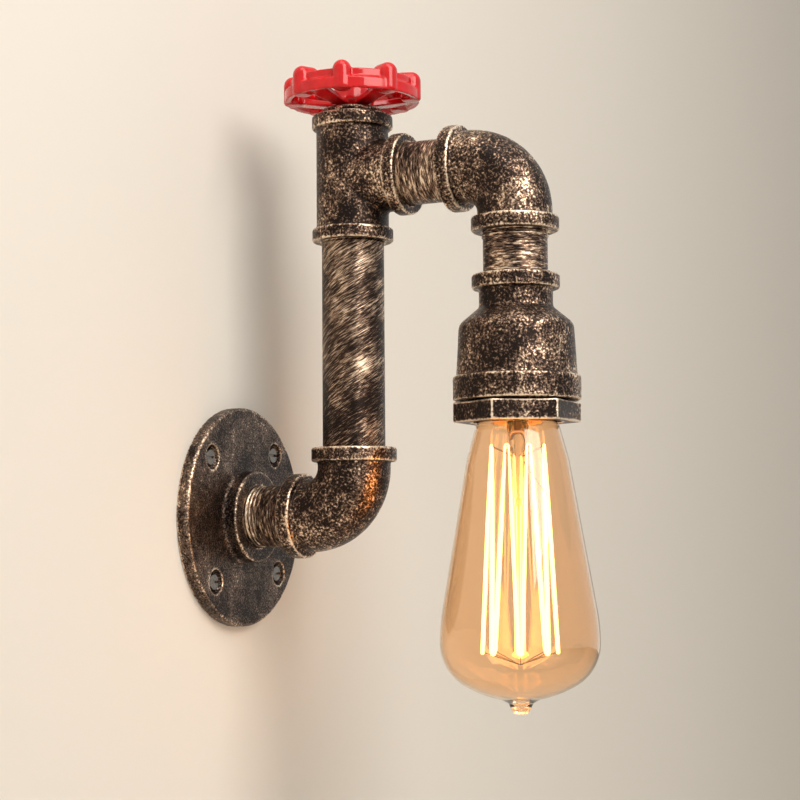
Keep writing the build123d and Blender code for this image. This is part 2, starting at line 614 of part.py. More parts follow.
def lampholder_body():
    """Ceramic holder: skirt, clamping flange and head with a pocket for the shell."""
    pocket_r = SHELL_BORE_D / 2 + SHELL_T + SOCKET_GAP
    flange_top = HOLDER_FLANGE_Z + HOLDER_FLANGE_T
    outline = [
        (pocket_r, HOLDER_FOOT_Z), (HOLDER_SKIRT_D / 2, HOLDER_FOOT_Z),
        (HOLDER_SKIRT_D / 2, HOLDER_FLANGE_Z), (HOLDER_FLANGE_D / 2, HOLDER_FLANGE_Z),
        (HOLDER_FLANGE_D / 2, flange_top), (HOLDER_HEAD_D / 2, flange_top),
        (HOLDER_HEAD_D / 2, HOLDER_TOP_Z), (0, HOLDER_TOP_Z), (0, HOLDER_FLOOR_Z),
        (pocket_r, HOLDER_FLOOR_Z)]
    rounds = [((HOLDER_SKIRT_D / 2, HOLDER_FOOT_Z), HOLDER_ROUND),
              ((HOLDER_HEAD_D / 2, HOLDER_TOP_Z), HOLDER_ROUND)]
    body = turned(outline, rounds)
    for side in (-1, 1):
        body -= rod((side * RIVET_X, 0, HOLDER_FLOOR_Z), UP, HOLDER_FLOOR_T, RIVET_D + 2 * THREAD_GAP)
    return LAMP_AXIS * body


def lampholder_shell():
    """Brass shell that the bulb screws into, with a riveted tab at its top."""
    foot = HOLDER_FOOT_Z + SHELL_MOUTH
    body = tube((0, 0, foot), UP, HOLDER_FLOOR_Z - foot, SHELL_BORE_D + 2 * SHELL_T, SHELL_BORE_D)
    tab_end = SHELL_BORE_D / 2 + SHELL_T / 2
    tab = Pos(-tab_end + SHELL_TAB_L / 2, 0, HOLDER_FLOOR_Z - STRIP_T) * Box(
        SHELL_TAB_L, SHELL_TAB_W, STRIP_T, align=STANDING)
    hole = rod((-RIVET_X, 0, HOLDER_FLOOR_Z - STRIP_T), UP, STRIP_T, RIVET_D + 2 * THREAD_GAP)
    return LAMP_AXIS * (body + tab - hole)


def centre_contact():
    """Brass strip: a foot on the ceramic floor and a tongue bent down to the bulb's tip."""
    top = HOLDER_FLOOR_Z
    low = TIP_Z + CONTACT_GAP
    foot_end = RIVET_X + RIVET_D / 2 + RIVET_MARGIN
    outline = Polyline([
        (foot_end, 0, top), (TONGUE_TURN_X, 0, top), (TONGUE_END_X, 0, low + STRIP_T),
        (TONGUE_END_X, 0, low), (TONGUE_TURN_X, 0, top - STRIP_T), (foot_end, 0, top - STRIP_T)], close=True)
    strip = extrude(make_face(outline), STRIP_W / 2, both=True)
    hole = rod((RIVET_X, 0, top - STRIP_T), UP, STRIP_T, RIVET_D + 2 * THREAD_GAP)
    return LAMP_AXIS * (strip - hole)


def terminal_block():
    """Brass block on the +X side, with a foot for its rivet and a hole for its wire."""
    start = WIRE_X - BLOCK_L / 2
    foot_end = RIVET_X + RIVET_D / 2 + RIVET_MARGIN
    block = Pos(WIRE_X, 0, HOLDER_TOP_Z) * Box(BLOCK_L, BLOCK_W, BLOCK_T, align=STANDING)
    foot = Pos((start + foot_end) / 2, 0, HOLDER_TOP_Z) * Box(
        foot_end - start, BLOCK_W, BLOCK_FOOT_T, align=STANDING)
    wire_hole = rod((WIRE_X, 0, HOLDER_TOP_Z + WIRE_HOLE_FLOOR), UP, BLOCK_T, WIRE_HOLE_D)
    rivet_hole = rod((RIVET_X, 0, HOLDER_TOP_Z), UP, BLOCK_FOOT_T, RIVET_D + 2 * THREAD_GAP)
    return block + foot - wire_hole - rivet_hole - clamp_screw_hole()


def clamp_screw_z():
    """Height of the clamp screws' axes."""
    return HOLDER_TOP_Z + CLAMP_SCREW_RISE


def clamp_screw_hole():
    """Hole for the clamp screw in the +X block."""
    start = WIRE_X + WIRE_HOLE_D / 2 - CLAMP_HOLE_LAP
    return rod((start, 0, clamp_screw_z()), (1, 0, 0), BLOCK_L / 2, CLAMP_SCREW_D + 2 * THREAD_GAP)


def clamp_screw():
    """Clamp screw of the +X block."""
    face = WIRE_X + BLOCK_L / 2
    shank = rod((face - CLAMP_SCREW_L, 0, clamp_screw_z()), (1, 0, 0), CLAMP_SCREW_L, CLAMP_SCREW_D)
    head = rod((face, 0, clamp_screw_z()), (1, 0, 0), CLAMP_HEAD_T, CLAMP_HEAD_D)
    slot = Pos(face + CLAMP_HEAD_T, 0, clamp_screw_z()) * Box(CLAMP_HEAD_T, SLOT_W, CLAMP_HEAD_D)
    return shank + head - slot


def rivet():
    """Rivet of the +X contact, peened over the terminal block's foot."""
    low = HOLDER_FLOOR_Z - STRIP_T
    high = HOLDER_TOP_Z + BLOCK_FOOT_T
    body = rod((RIVET_X, 0, low), UP, high - low, RIVET_D)
    body += rod((RIVET_X, 0, low), DOWN, RIVET_HEAD_T, RIVET_HEAD_D)
    return body + rod((RIVET_X, 0, high), UP, RIVET_HEAD_T, RIVET_HEAD_D)


def both_sides(shape):
    """A shape and its half-turn copy about the lamp's axis."""
    return Compound([LAMP_AXIS * shape, LAMP_AXIS * Rot(0, 0, 180) * shape])


def wire(x):
    """Insulated wire from the wall, through the pipework, to its terminal block."""
    end_z = HOLDER_TOP_Z + WIRE_HOLE_FLOOR + WIRE_END_GAP
    route = FilletPolyline(
        [(x, -WIRE_TAIL, 0), (x, RISER_Y, 0), (x, RISER_Y, TEE_Z), (x, LAMP_Y, TEE_Z), (x, LAMP_Y, end_z)],
        radius=[BEND_R, TEE_WIRE_R, BEND_R])
    section = Plane(origin=(x, -WIRE_TAIL, 0), z_dir=OUT) * Circle(WIRE_D / 2)
    return sweep(section, path=route)


# ---------------------------------------------------------------- bulb
def glass_outline(inset):
    """Half outline of the envelope, set in by a wall thickness: neck, cone, belly, crown."""
    rim = CAP_RIM_Z
    belly_r = GLASS_BELLY_D / 2
    belly_z = rim - GLASS_BELLY_DROP
    slope = radians(GLASS_SIDE_SLOPE)
    side_c = Vector(belly_r - GLASS_SIDE_R, 0, belly_z)
    corner_c = Vector(belly_r - GLASS_CORNER_R, 0, belly_z)
    crown_r = (corner_c.X ** 2 + GLASS_CROWN_DROP ** 2 - GLASS_CORNER_R ** 2) / (
        2 * (GLASS_CROWN_DROP - GLASS_CORNER_R))
    crown_c = Vector(0, 0, CROWN_Z + crown_r)
    lean = (corner_c - crown_c).normalized()
    side_r = GLASS_SIDE_R - inset
    corner_r = GLASS_CORNER_R - inset
    normal = Vector(cos(slope), 0, sin(slope))
    cone_foot = side_c + normal * side_r
    neck_r = GLASS_NECK_D / 2 - inset
    sag = GLASS_SHOULDER_SAG * inset / GLASS_T
    shoulder = Vector(GLASS_SHOULDER_D / 2 - inset, 0, rim - GLASS_SHOULDER_DROP - sag)
    cone_top = Vector(GLASS_CONE_D / 2 - inset, 0, rim - GLASS_CONE_DROP)
    neck_turn = Vector(neck_r, 0, rim - GLASS_NECK_DROP)
    neck_top = Vector(neck_r, 0, rim + GLASS_NECK_L)
    wall = FilletPolyline([neck_top, neck_turn, shoulder, cone_top, cone_foot],
                          radius=[GLASS_NECK_ROUND, GLASS_SHOULDER_ROUND - inset, GLASS_CONE_ROUND])
    side = ThreePointArc(cone_foot, side_c + Vector(cos(slope / 2), 0, sin(slope / 2)) * side_r,
                         side_c + Vector(side_r, 0, 0))
    corner_end = corner_c + lean * corner_r
    corner_mid = corner_c + (Vector(1, 0, 0) + lean).normalized() * corner_r
    corner = ThreePointArc(side @ 1, corner_mid, corner_end)
    crown_out = crown_r - inset
    crown_end = Vector(0, 0, CROWN_Z + inset)
    crown_mid = crown_c + ((corner_end - crown_c).normalized() + Vector(0, 0, -1)).normalized() * crown_out
    crown = ThreePointArc(corner_end, crown_mid, crown_end)
    return [wall, side, corner, crown]


def glass_solid(inset):
    """Solid body of revolution inside the envelope's outline."""
    curves = glass_outline(inset)
    start = curves[0] @ 0
    end = curves[-1] @ 1
    lid = Line(start, (0, 0, start.Z))
    spine = Line((0, 0, start.Z), end)
    return revolve(make_face(curves + [lid, spine]), Axis.Z)


def glass_envelope():
    """Thin glass envelope with its sealed exhaust tip."""
    point_z = CROWN_Z - NIB_L
    nib = turned([(0, point_z), (NIB_POINT_D / 2, point_z + NIB_POINT_T),
                  (NIB_WAIST_D / 2, point_z + NIB_WAIST_L), (NIB_ROOT_D / 2, CROWN_Z + NIB_ROOT_RISE),
                  (0, CROWN_Z + NIB_ROOT_RISE)])
    return LAMP_AXIS * (glass_solid(0) + nib - glass_solid(GLASS_T))


def bulb_shell():
    """Screw cap: a thin brass cup with a flared rim, open at its top for the insulator."""
    r = CAP_D / 2
    outline = [
        (r - CAP_T, CAP_RIM_Z), (CAP_RIM_D / 2, CAP_RIM_Z), (CAP_RIM_D / 2, CAP_RIM_Z + CAP_RIM_EDGE),
        (r, CAP_RIM_Z + CAP_RIM_T), (r, CAP_TOP_Z), (r - CAP_LEDGE, CAP_TOP_Z),
        (r - CAP_LEDGE, CAP_TOP_Z - CAP_T), (r - CAP_T, CAP_TOP_Z - CAP_T)]
    return LAMP_AXIS * turned(outline, [((r, CAP_TOP_Z), CAP_ROUND)])


def bulb_insulator():
    """Black glass cone between the cap's shell and its tip."""
    return LAMP_AXIS * turned([
        (0, CAP_TOP_Z), (CAP_D / 2 - INSULATOR_INSET, CAP_TOP_Z), (INSULATOR_TOP_D / 2, TIP_Z - TIP_T),
        (0, TIP_Z - TIP_T)])


def tip_contact():
    """Domed solder tip."""
    base = TIP_Z - TIP_T
    return LAMP_AXIS * turned([(0, base), (TIP_D / 2, base), (TIP_D / 2, base + TIP_WALL_T),
                               (TIP_FLAT_D / 2, TIP_Z - TIP_DOME), (0, TIP_Z)])


def glass_stem():
    """Glass stem: flare in the neck, tube, pinch and a long rod with two buttons."""
    rim = CAP_RIM_Z
    flare_z = rim + STEM_FLARE_RISE
    pinch_z = rim - STEM_PINCH_DROP
    rod_r = STEM_ROD_D / 2
    button_r = STEM_BUTTON_D / 2
    half = STEM_BUTTON_T / 2
    mid = rim - STEM_MID_DROP
    low = rim - STEM_DROP
    outline = [
        (0, flare_z), (STEM_FLARE_D / 2, flare_z), (STEM_FLARE_D / 2, flare_z - STEM_FLARE_T),
        (STEM_THROAT_D / 2, rim - STEM_THROAT_DROP), (STEM_TUBE_D / 2, rim - STEM_TUBE_DROP),
        (STEM_PINCH_D / 2, pinch_z), (rod_r, pinch_z - STEM_PINCH_L),
        (rod_r, mid + half), (button_r, mid), (rod_r, mid - half),
        (rod_r, low + 2 * half), (button_r, low + half), (STEM_POINT_D / 2, low), (0, low)]
    return LAMP_AXIS * turned(outline)


def hook_place(diameter, drop, index, count):
    """Point of the cage at an evenly spaced angle."""
    angle = 2 * pi * index / count
    return Vector(diameter / 2 * cos(angle), diameter / 2 * sin(angle), CAP_RIM_Z - drop)


def cage_points():
    """Corner points of the filament: up and down between the top and bottom hooks."""
    points = []
    steps = 2 * CAGE_HOOKS
    for k in range(1, steps):
        at_top = k % 2 == 0
        diameter, drop = (CAGE_TOP_D, CAGE_TOP_DROP) if at_top else (CAGE_BOTTOM_D, CAGE_BOTTOM_DROP)
        spot = hook_place(diameter, drop, k, steps)
        along = Vector(-spot.Y, spot.X, 0).normalized() * FILAMENT_TURN_HALF
        points += [spot - along, spot + along]
    first = hook_place(CAGE_TOP_D, CAGE_TOP_DROP, CAGE_SEAM, steps)
    last = hook_place(CAGE_TOP_D, CAGE_TOP_DROP, steps - CAGE_SEAM, steps)
    return [first] + points + [last]


def filament():
    """Squirrel-cage filament: one unbroken wire over all its hooks."""
    points = cage_points()
    route = FilletPolyline(points, radius=FILAMENT_TURN_R)
    section = Plane(origin=points[0], z_dir=route % 0) * RegularPolygon(FILAMENT_D / 2, 6)
    return LAMP_AXIS * sweep(section, path=route)


def support(inner, outer):
    """Straight support wire between two points."""
    span = outer - inner
    return rod(inner, span, span.length, SUPPORT_D)


def filament_supports():
    """Wires from the stem's ends out to the filament's turns."""
    wires = []
    steps = 2 * CAGE_HOOKS
    inside = FILAMENT_D / 2 + HOOK_GAP
    for k in range(1, steps):
        if k % 2 == 0:
            spot = hook_place(CAGE_TOP_D, CAGE_TOP_DROP, k, steps)
            end = spot - Vector(0, 0, inside)
            root_r = STEM_ROD_D / 2
            root_z = CAP_RIM_Z - STEM_PINCH_DROP - STEM_PINCH_L
        else:
            spot = hook_place(CAGE_BOTTOM_D, CAGE_BOTTOM_DROP, k, steps)
            end = spot + Vector(0, 0, inside)
            root_r = STEM_BUTTON_D / 2
            root_z = CAP_RIM_Z - STEM_DROP + STEM_BUTTON_T / 2
        radial = Vector(spot.X, spot.Y, 0).normalized()
        root = radial * (root_r + SUPPORT_D) + Vector(0, 0, root_z)
        wires.append(LAMP_AXIS * support(root, end))
    return Compound(wires)


def lead_wires():
    """Two leads from the pinch up and out to the filament's ends."""
    leads = []
    steps = 2 * CAGE_HOOKS
    root_z = CAP_RIM_Z - STEM_PINCH_DROP + LEAD_ROOT_RISE
    for index in (CAGE_SEAM, steps - CAGE_SEAM):
        end = hook_place(CAGE_TOP_D, CAGE_TOP_DROP, index, steps)
        radial = Vector(end.X, end.Y, 0).normalized()
        root = radial * (STEM_PINCH_D / 2 + LEAD_ROOT_GAP) + Vector(0, 0, root_z)
        leads.append(LAMP_AXIS * rod(root, end - root, (end - root).length - LEAD_END_GAP, LEAD_D))
    return Compound(leads)


# ---------------------------------------------------------------- the whole light
def build():
    """Every piece by its name."""
    low_elbow = Pos(0, RISER_Y, 0) * elbow()
    high_elbow = Pos(0, LAMP_Y, TEE_Z) * Rot(0, 180, 0) * elbow()
    seat = BACK_RECESS_T + RECESS_LIP
    pieces = {
        "wall_flange": wall_flange(),
        "mounting_screws": mounting_screws(),
        "earth_screw": earth_screw(),
        "earth_washer": earth_washer(),
        "flange_nipple": pipe((0, -seat, 0), OUT, -LOW_ELBOW_END_Y + THREAD_REACH - seat),
        "lower_elbow": low_elbow,
        "riser_pipe": pipe((0, RISER_Y, ELBOW_REACH - THREAD_REACH), UP, RISER_SHOW + 2 * THREAD_REACH),
        "tee": tee(),
        "tee_plug": tee_plug(),
        "wheel_stem": wheel_stem(),
        "handwheel": handwheel(),
        "wheel_washer": wheel_washer(),
        "wheel_nut": wheel_nut(),
        "branch_nipple": pipe((0, RISER_Y - TEE_REACH + THREAD_REACH, TEE_Z), OUT,
                              BRANCH_NIPPLE_SHOW + 2 * THREAD_REACH),
        "upper_elbow": high_elbow,
        "drop_nipple": pipe((0, LAMP_Y, CUP_TOP_Z - THREAD_REACH), UP, DROP_NIPPLE_SHOW + 2 * THREAD_REACH),
        "socket_cup": socket_cup(),
        "hex_bushing": hex_bushing(),
        "lampholder_body": lampholder_body(),
        "lampholder_shell": lampholder_shell(),
        "centre_contact": centre_contact(),
        "terminal_blocks": both_sides(terminal_block()),
        "terminal_screws": both_sides(clamp_screw()),
        "contact_rivets": both_sides(rivet()),
        "live_wire": wire(WIRE_X),
        "neutral_wire": wire(-WIRE_X),
        "tip_contact": tip_contact(),
        "bulb_insulator": bulb_insulator(),
        "bulb_shell": bulb_shell(),
        "glass_envelope": glass_envelope(),
        "glass_stem": glass_stem(),
        "filament": filament(),
        "filament_supports": filament_supports(),
        "lead_wires": lead_wires(),
    }
    return pieces


os.makedirs("parts", exist_ok=True)
for name, shape in build().items():
    export_step(shape, f"parts/{name}.step")
    print(name, round(shape.volume, 2))
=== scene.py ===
"""Looks of an industrial pipe wall light: antique bronze pipe fittings, a red valve wheel, a filament bulb.

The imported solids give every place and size, in metres: the wall is Y = 0, the light reaches towards -Y and
+Z is up. Sizes below are in millimetres and are turned to metres by MM.
"""

import logging
import math
from contextlib import contextmanager
from dataclasses import dataclass, replace
from enum import Enum
from functools import cache
from typing import Callable, Iterator, Optional, Sequence

import bmesh
import bpy
import numpy as np
from bpy.types import Material, Mesh, NodeSocket, NodeTree, Object
from mathutils import Matrix, Vector, noise


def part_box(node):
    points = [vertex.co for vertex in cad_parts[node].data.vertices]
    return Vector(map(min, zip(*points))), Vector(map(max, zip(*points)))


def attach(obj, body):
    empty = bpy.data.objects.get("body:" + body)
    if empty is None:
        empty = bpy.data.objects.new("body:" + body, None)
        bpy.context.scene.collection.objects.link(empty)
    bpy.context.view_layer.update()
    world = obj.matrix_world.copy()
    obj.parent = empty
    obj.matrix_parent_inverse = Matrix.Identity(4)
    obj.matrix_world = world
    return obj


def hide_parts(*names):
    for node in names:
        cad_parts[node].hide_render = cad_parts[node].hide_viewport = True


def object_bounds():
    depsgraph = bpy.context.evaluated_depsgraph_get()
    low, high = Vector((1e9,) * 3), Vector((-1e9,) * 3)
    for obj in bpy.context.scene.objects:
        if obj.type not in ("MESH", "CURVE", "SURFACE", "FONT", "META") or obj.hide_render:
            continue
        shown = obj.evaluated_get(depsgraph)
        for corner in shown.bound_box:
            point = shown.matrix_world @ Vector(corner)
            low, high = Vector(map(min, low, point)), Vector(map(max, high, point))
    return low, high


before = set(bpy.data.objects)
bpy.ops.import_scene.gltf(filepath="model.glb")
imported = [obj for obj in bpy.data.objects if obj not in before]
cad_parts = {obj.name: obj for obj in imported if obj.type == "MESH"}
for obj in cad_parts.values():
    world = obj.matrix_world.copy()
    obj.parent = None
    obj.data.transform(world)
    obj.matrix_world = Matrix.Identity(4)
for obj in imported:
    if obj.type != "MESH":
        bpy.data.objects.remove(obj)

LOG = logging.getLogger("wall_light")
MM = 0.001
CAD_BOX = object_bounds()

Points = list[tuple[float, float]]       # radius and height, in mm
Outline = Sequence[tuple[float, float]]  # the same, where it is only read
Route = list[tuple[Vector, float]]       # points in metres, each with the wire's radius there in mm
Ripple = Callable[[float, float, float], float]

MIX_A, MIX_B, MIX_OUT = 6, 7, 2          # colour sockets of a mix node


class Body(str, Enum):
    """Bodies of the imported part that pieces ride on."""

    FIXTURE = "fixture"
    WHEEL = "wheel"
    BULB = "bulb"


class Axis(Enum):
    """Directions that turned pieces stand along, as the rotation that takes +Z there."""

    UP = Matrix.Identity(4)
    FROM_WALL = Matrix.Rotation(math.pi / 2, 4, "X")


# ---- colours and shader nodes
def linear(hex_colour: str) -> tuple[float, float, float, float]:
    """Turn an sRGB hex colour into linear light.

    Args:
        hex_colour: Colour such as "#E8202A".

    Returns:
        Linear red, green, blue and an alpha of 1.
    """
    parts = [int(hex_colour[i:i + 2], 16) / 255 for i in (1, 3, 5)]
    red, green, blue = [c / 12.92 if c <= 0.04045 else ((c + 0.055) / 1.055) ** 2.4 for c in parts]
    return red, green, blue, 1.0


def per_metre(size_mm: float) -> float:
    """Texture scale at which one feature is size_mm wide."""
    return 1.0 / (size_mm * MM)


def add_node(tree: NodeTree, kind: str, settings: dict, links: Optional[dict] = None,
             give: int | str = 0) -> Optional[NodeSocket]:
    """Add a node with its settings and links.

    Args:
        tree: Node tree to add to.
        kind: Blender's node type, without its "ShaderNode".
        settings: Values by input name or index, or by property name; a hex colour goes in as text.
        links: Output sockets by input name or index.
        give: Output to give back, by name or index.

    Returns:
        That output, if the node has any.
    """
    node = tree.nodes.new("ShaderNode" + kind)
    for key, value in settings.items():
        if isinstance(value, str) and value.startswith("#"):
            value = linear(value)
        if isinstance(key, int) or key in node.inputs:
            node.inputs[key].default_value = value
        else:
            setattr(node, key, value)
    for key, socket in (links or {}).items():
        tree.links.new(socket, node.inputs[key])
    return node.outputs[give] if node.outputs else None


# ---- finishes
class Finish:
    """A finish: its subclasses name it and say what its surface is made of."""

    name: str

    def surface(self, tree: NodeTree) -> NodeSocket:
        """Add the shader's nodes to a tree and give its output."""
        raise NotImplementedError

    @cache
    def material(self) -> Material:
        """Make the material, once.

        Returns:
            The material, with its surface linked.
        """
        material = bpy.data.materials.new(self.name)
        material.use_nodes = True
        tree = material.node_tree
        tree.nodes.clear()
        add_node(tree, "OutputMaterial", {}, {"Surface": self.surface(tree)})
        return material


@dataclass(frozen=True)
class CastBronze(Finish):
    """Cast iron, blackened and dry-brushed with bronze: sandy skin, dull and bright flecks, lit edges."""

    name: str = "antique_bronze_casting"
    ground: str = "#181311"
    warm: str = "#2F241E"
    dull: str = "#705A4D"
    gild: str = "#C8A27F"
    bright: str = "#F8E8D2"
    grain_mm: float = 1.0            # the real grit is nearer 0.3 mm, drawn coarser so that it shows
    dab_mm: float = 3.0
    dab_weight: float = 0.30         # beside the grain's 1
    patch_mm: float = 17.0
    patch_weight: float = 0.45
    level_span: float = 0.4          # of the summed noise, from a covered surface to a bare one
    dull_share: float = 0.50         # of the surface
    dull_feather: tuple[float, float] = (0.04, 0.06)
    bright_share: float = 0.24
    bright_feather: tuple[float, float] = (0.02, 0.06)
    core_depth: float = 0.16         # above the bright level, where a fleck is palest
    edge_gilding: float = 0.24
    grain_height_mm: float = 0.20
    metallic: float = 0.88
    dark_roughness: float = 0.40
    gilt_roughness: float = 0.30
    coords: str = ""                 # attribute that the strokes follow, if any

    def surface(self, tree: NodeTree) -> NodeSocket:
        """Lay flecks on the high grains, more of them in brushed patches and on rubbed edges.

        Args:
            tree: Node tree to fill.

        Returns:
            The shader's output.
        """
        still = add_node(tree, "TexCoord", {}, give="Object")
        place = still
        if self.coords:
            place = add_node(tree, "Attribute", {"attribute_name": self.coords}, give="Vector")
        noises = ((self.grain_mm, 3.0, 0.65, place), (self.dab_mm, 2.0, 0.5, place),
                  (self.patch_mm, 2.0, 0.5, still))
        grain, dab, patch = [
            add_node(tree, "TexNoise", {"Scale": per_metre(size), "Detail": detail, "Roughness": roughness},
                     {"Vector": where})
            for size, detail, roughness, where in noises]
        wear = add_node(tree, "Attribute", {"attribute_name": "wear"}, give="Fac")
        levels = [grain]
        for weight, part in ((self.dab_weight, dab), (self.patch_weight, patch), (self.edge_gilding, wear)):
            levels.append(add_node(tree, "Math", {"operation": "MULTIPLY_ADD", 1: weight},
                                   {0: part, 2: levels[-1]}))
        height, rubbed = levels[1], levels[-1]
        middle_level = 0.5 * (1.0 + self.dab_weight + self.patch_weight)
        dull_level, bright_level = [middle_level + (0.5 - share) * self.level_span
                                    for share in (self.dull_share, self.bright_share)]
        (dull_in, dull_out), (bright_in, bright_out) = self.dull_feather, self.bright_feather
        ranges = ((dull_level - dull_in, dull_level + dull_out, "SMOOTHSTEP"),
                  (bright_level - bright_in, bright_level + bright_out, "SMOOTHSTEP"),
                  (bright_level, bright_level + self.core_depth, "LINEAR"))
        dull_mask, bright_mask, core = [
            add_node(tree, "MapRange", {"From Min": low, "From Max": high, "interpolation_type": curve},
                     {"Value": rubbed})
            for low, high, curve in ranges]
        ground = add_node(tree, "Mix", {"data_type": "RGBA", MIX_A: self.ground, MIX_B: self.warm},
                          {0: patch}, MIX_OUT)
        gilt = add_node(tree, "Mix", {"data_type": "RGBA", MIX_A: self.gild, MIX_B: self.bright},
                        {0: core}, MIX_OUT)
        flecked = add_node(tree, "Mix", {"data_type": "RGBA", MIX_B: self.dull},
                           {0: dull_mask, MIX_A: ground}, MIX_OUT)
        colour = add_node(tree, "Mix", {"data_type": "RGBA"},
                          {0: bright_mask, MIX_A: flecked, MIX_B: gilt}, MIX_OUT)
        roughness = add_node(tree, "MapRange", {"To Min": self.dark_roughness, "To Max": self.gilt_roughness},
                             {"Value": bright_mask})
        bump = add_node(tree, "Bump", {"Strength": 1.0, "Distance": self.grain_height_mm * MM},
                        {"Height": height})
        return add_node(tree, "BsdfPrincipled", {"Metallic": self.metallic},
                        {"Base Color": colour, "Roughness": roughness, "Normal": bump})


@dataclass(frozen=True)
class Mottled(Finish):
    """An even material whose colour drifts between two close ones, with fine relief where it has some."""

    name: str
    colour: str
    tint: str
    roughness: float = 0.3
    metallic: float = 0.0
    coat: float = 0.0
    ior: float = 1.5
    mark_mm: float = 2.5
    detail: float = 2.0
    relief: float = 0.0              # strength
    relief_mm: float = 0.0
    wander: Optional[tuple[float, float]] = None      # roughness from mark to mark, as shares

    def surface(self, tree: NodeTree) -> NodeSocket:
        """Let one noise carry colour, gloss and relief.

        Args:
            tree: Node tree to fill.

        Returns:
            The shader's output.
        """
        place = add_node(tree, "TexCoord", {}, give="Object")
        mark = add_node(tree, "TexNoise", {"Scale": per_metre(self.mark_mm), "Detail": self.detail},
                        {"Vector": place})
        colours = {"data_type": "RGBA", MIX_A: self.colour, MIX_B: self.tint}
        links = {"Base Color": add_node(tree, "Mix", colours, {0: mark}, MIX_OUT)}
        if self.wander:
            low, high = [self.roughness * share for share in self.wander]
            links["Roughness"] = add_node(tree, "MapRange", {"To Min": low, "To Max": high}, {"Value": mark})
        if self.relief:
            marks = {"Strength": self.relief, "Distance": self.relief_mm * MM}
            links["Normal"] = add_node(tree, "Bump", marks, {"Height": mark})
        return add_node(tree, "BsdfPrincipled",
                        {"Roughness": self.roughness, "Metallic": self.metallic, "IOR": self.ior,
                         "Coat Weight": self.coat, "Coat Roughness": 0.1}, links)


@dataclass(frozen=True)
class Enamel(Mottled):
    """Thick glossy enamel over a rough casting: a deep, even red under small wet highlights."""

    name: str = "red_stove_enamel"
    colour: str = "#E01019"
    tint: str = "#B4070F"
    roughness: float = 0.13
    ior: float = 1.48
    mark_mm: float = 4.0
    relief: float = 0.6
    relief_mm: float = 0.09


@dataclass(frozen=True)
class PlainMetal(Mottled):
    """Turned, stamped or drawn metal with fine tool marks that break up its reflections."""

    metallic: float = 1.0
    mark_mm: float = 0.7
    detail: float = 3.0
    relief: float = 0.5
    relief_mm: float = 0.02
    wander: Optional[tuple[float, float]] = (0.75, 1.3)


@dataclass(frozen=True)
class Moulded(Mottled):
    """Glazed porcelain, extruded insulation or pressed black glass: an even body under a soft gloss."""


@dataclass(frozen=True)
class BulbMatter(Finish):
    """Glass or hot wire of the bulb: it lets light through, gives off its own, or both; glass that glows
    carries painted light.
    """

    name: str
    colour: str
    roughness: float = 0.0
    clear: float = 1.0               # share of the light that passes
    glow: str = "#FFFFFF"
    strength: float = 0.0
    painted_glow_rise: Optional[tuple[float, float]] = None        # heights in mm where the painted glow starts and is full

    def surface(self, tree: NodeTree) -> NodeSocket:
        """Add the shader, with a painted glow rising along the piece if asked.

        Args:
            tree: Node tree to fill.

        Returns:
            The shader's output.
        """
        links = {}
        if self.painted_glow_rise:
            start, full = [height * MM for height in self.painted_glow_rise]
            place = add_node(tree, "TexCoord", {}, give="Object")
            height = add_node(tree, "SeparateXYZ", {}, {"Vector": place}, "Z")
            levels = {"From Min": start, "From Max": full, "To Max": self.strength}
            links["Emission Strength"] = add_node(tree, "MapRange", levels, {"Value": height})
        return add_node(tree, "BsdfPrincipled",
                        {"Base Color": self.colour, "Roughness": self.roughness, "IOR": 1.5,
                         "Transmission Weight": self.clear, "Emission Color": self.glow,
                         "Emission Strength": self.strength}, links)


@dataclass(frozen=True)
class StagePaint(Finish):
    """Matt pale paint; one-sided paint is clear from behind."""

    name: str
    one_sided: bool
    colour: str = "#E9E4DC"

    def surface(self, tree: NodeTree) -> NodeSocket:
        """Add the paint, with a clear back where it is one-sided.

        Args:
            tree: Node tree to fill.

        Returns:
            The shader's output.
        """
        paint = add_node(tree, "BsdfDiffuse", {"Color": self.colour})
        if not self.one_sided:
            return paint
        clear = add_node(tree, "BsdfTransparent", {})
        behind = add_node(tree, "NewGeometry", {}, give="Backfacing")
        return add_node(tree, "MixShader", {}, {0: behind, 1: paint, 2: clear})


# ---- finishes in use
CASTING = CastBronze()
FLANGE = CastBronze("antique_bronze_flange", dull="#6A5A50", grain_mm=0.8, dull_share=0.52, bright_share=0.12)
BUSHING = CastBronze("antique_bronze_bushing", dull_share=0.34, bright_share=0.10, edge_gilding=0.40)
RISER = CastBronze("brushed_bronze_riser", coords="brush", grain_mm=0.8, dull_share=0.46, bright_share=0.28)
NIPPLE = CastBronze("brushed_bronze_nipple", coords="brush", dull_share=0.62, bright_share=0.32)
ENAMEL = Enamel()
ZINC = PlainMetal("zinc_plated_steel", "#D6D6D2", "#A3A39F", 0.2)
SCREW = PlainMetal("darkened_screw_steel", "#A29C95", "#37322F", 0.24)
BLACK_STEEL = PlainMetal("blackened_steel", "#2A2523", "#14110F", 0.38, 0.8)
BRASS = PlainMetal("stamped_brass", "#D2A95B", "#B98B3E", 0.28)
SOLDER = PlainMetal("dull_solder", "#A9A9A4", "#8B8B88", 0.42)
SUPPORT = PlainMetal("drawn_molybdenum", "#8D8A84", "#6D6A66", 0.35)
PORCELAIN = Moulded("glazed_porcelain", "#EFEAE0", "#E4DED2", 0.22, coat=0.5)
BLACK_GLASS = Moulded("pressed_black_glass", "#0E0E10", "#17171A", 0.12)
BROWN = Moulded("brown_insulation", "#5B3621", "#4C2C1A", 0.42)
BLUE = Moulded("blue_insulation", "#2B5CA8", "#244F93", 0.42)
AMBER = BulbMatter("amber_blown_glass", "#FFE4C6")
# The glass rod glows with painted light, standing in for the filament's light along it, brighter towards the
# filament.
PAINTED_GLOW_ROD = BulbMatter("glass_rod_painted_glow", "#FFF4E0", 0.05, glow="#FFB938", strength=0.9, painted_glow_rise=(24.0, -6.0))
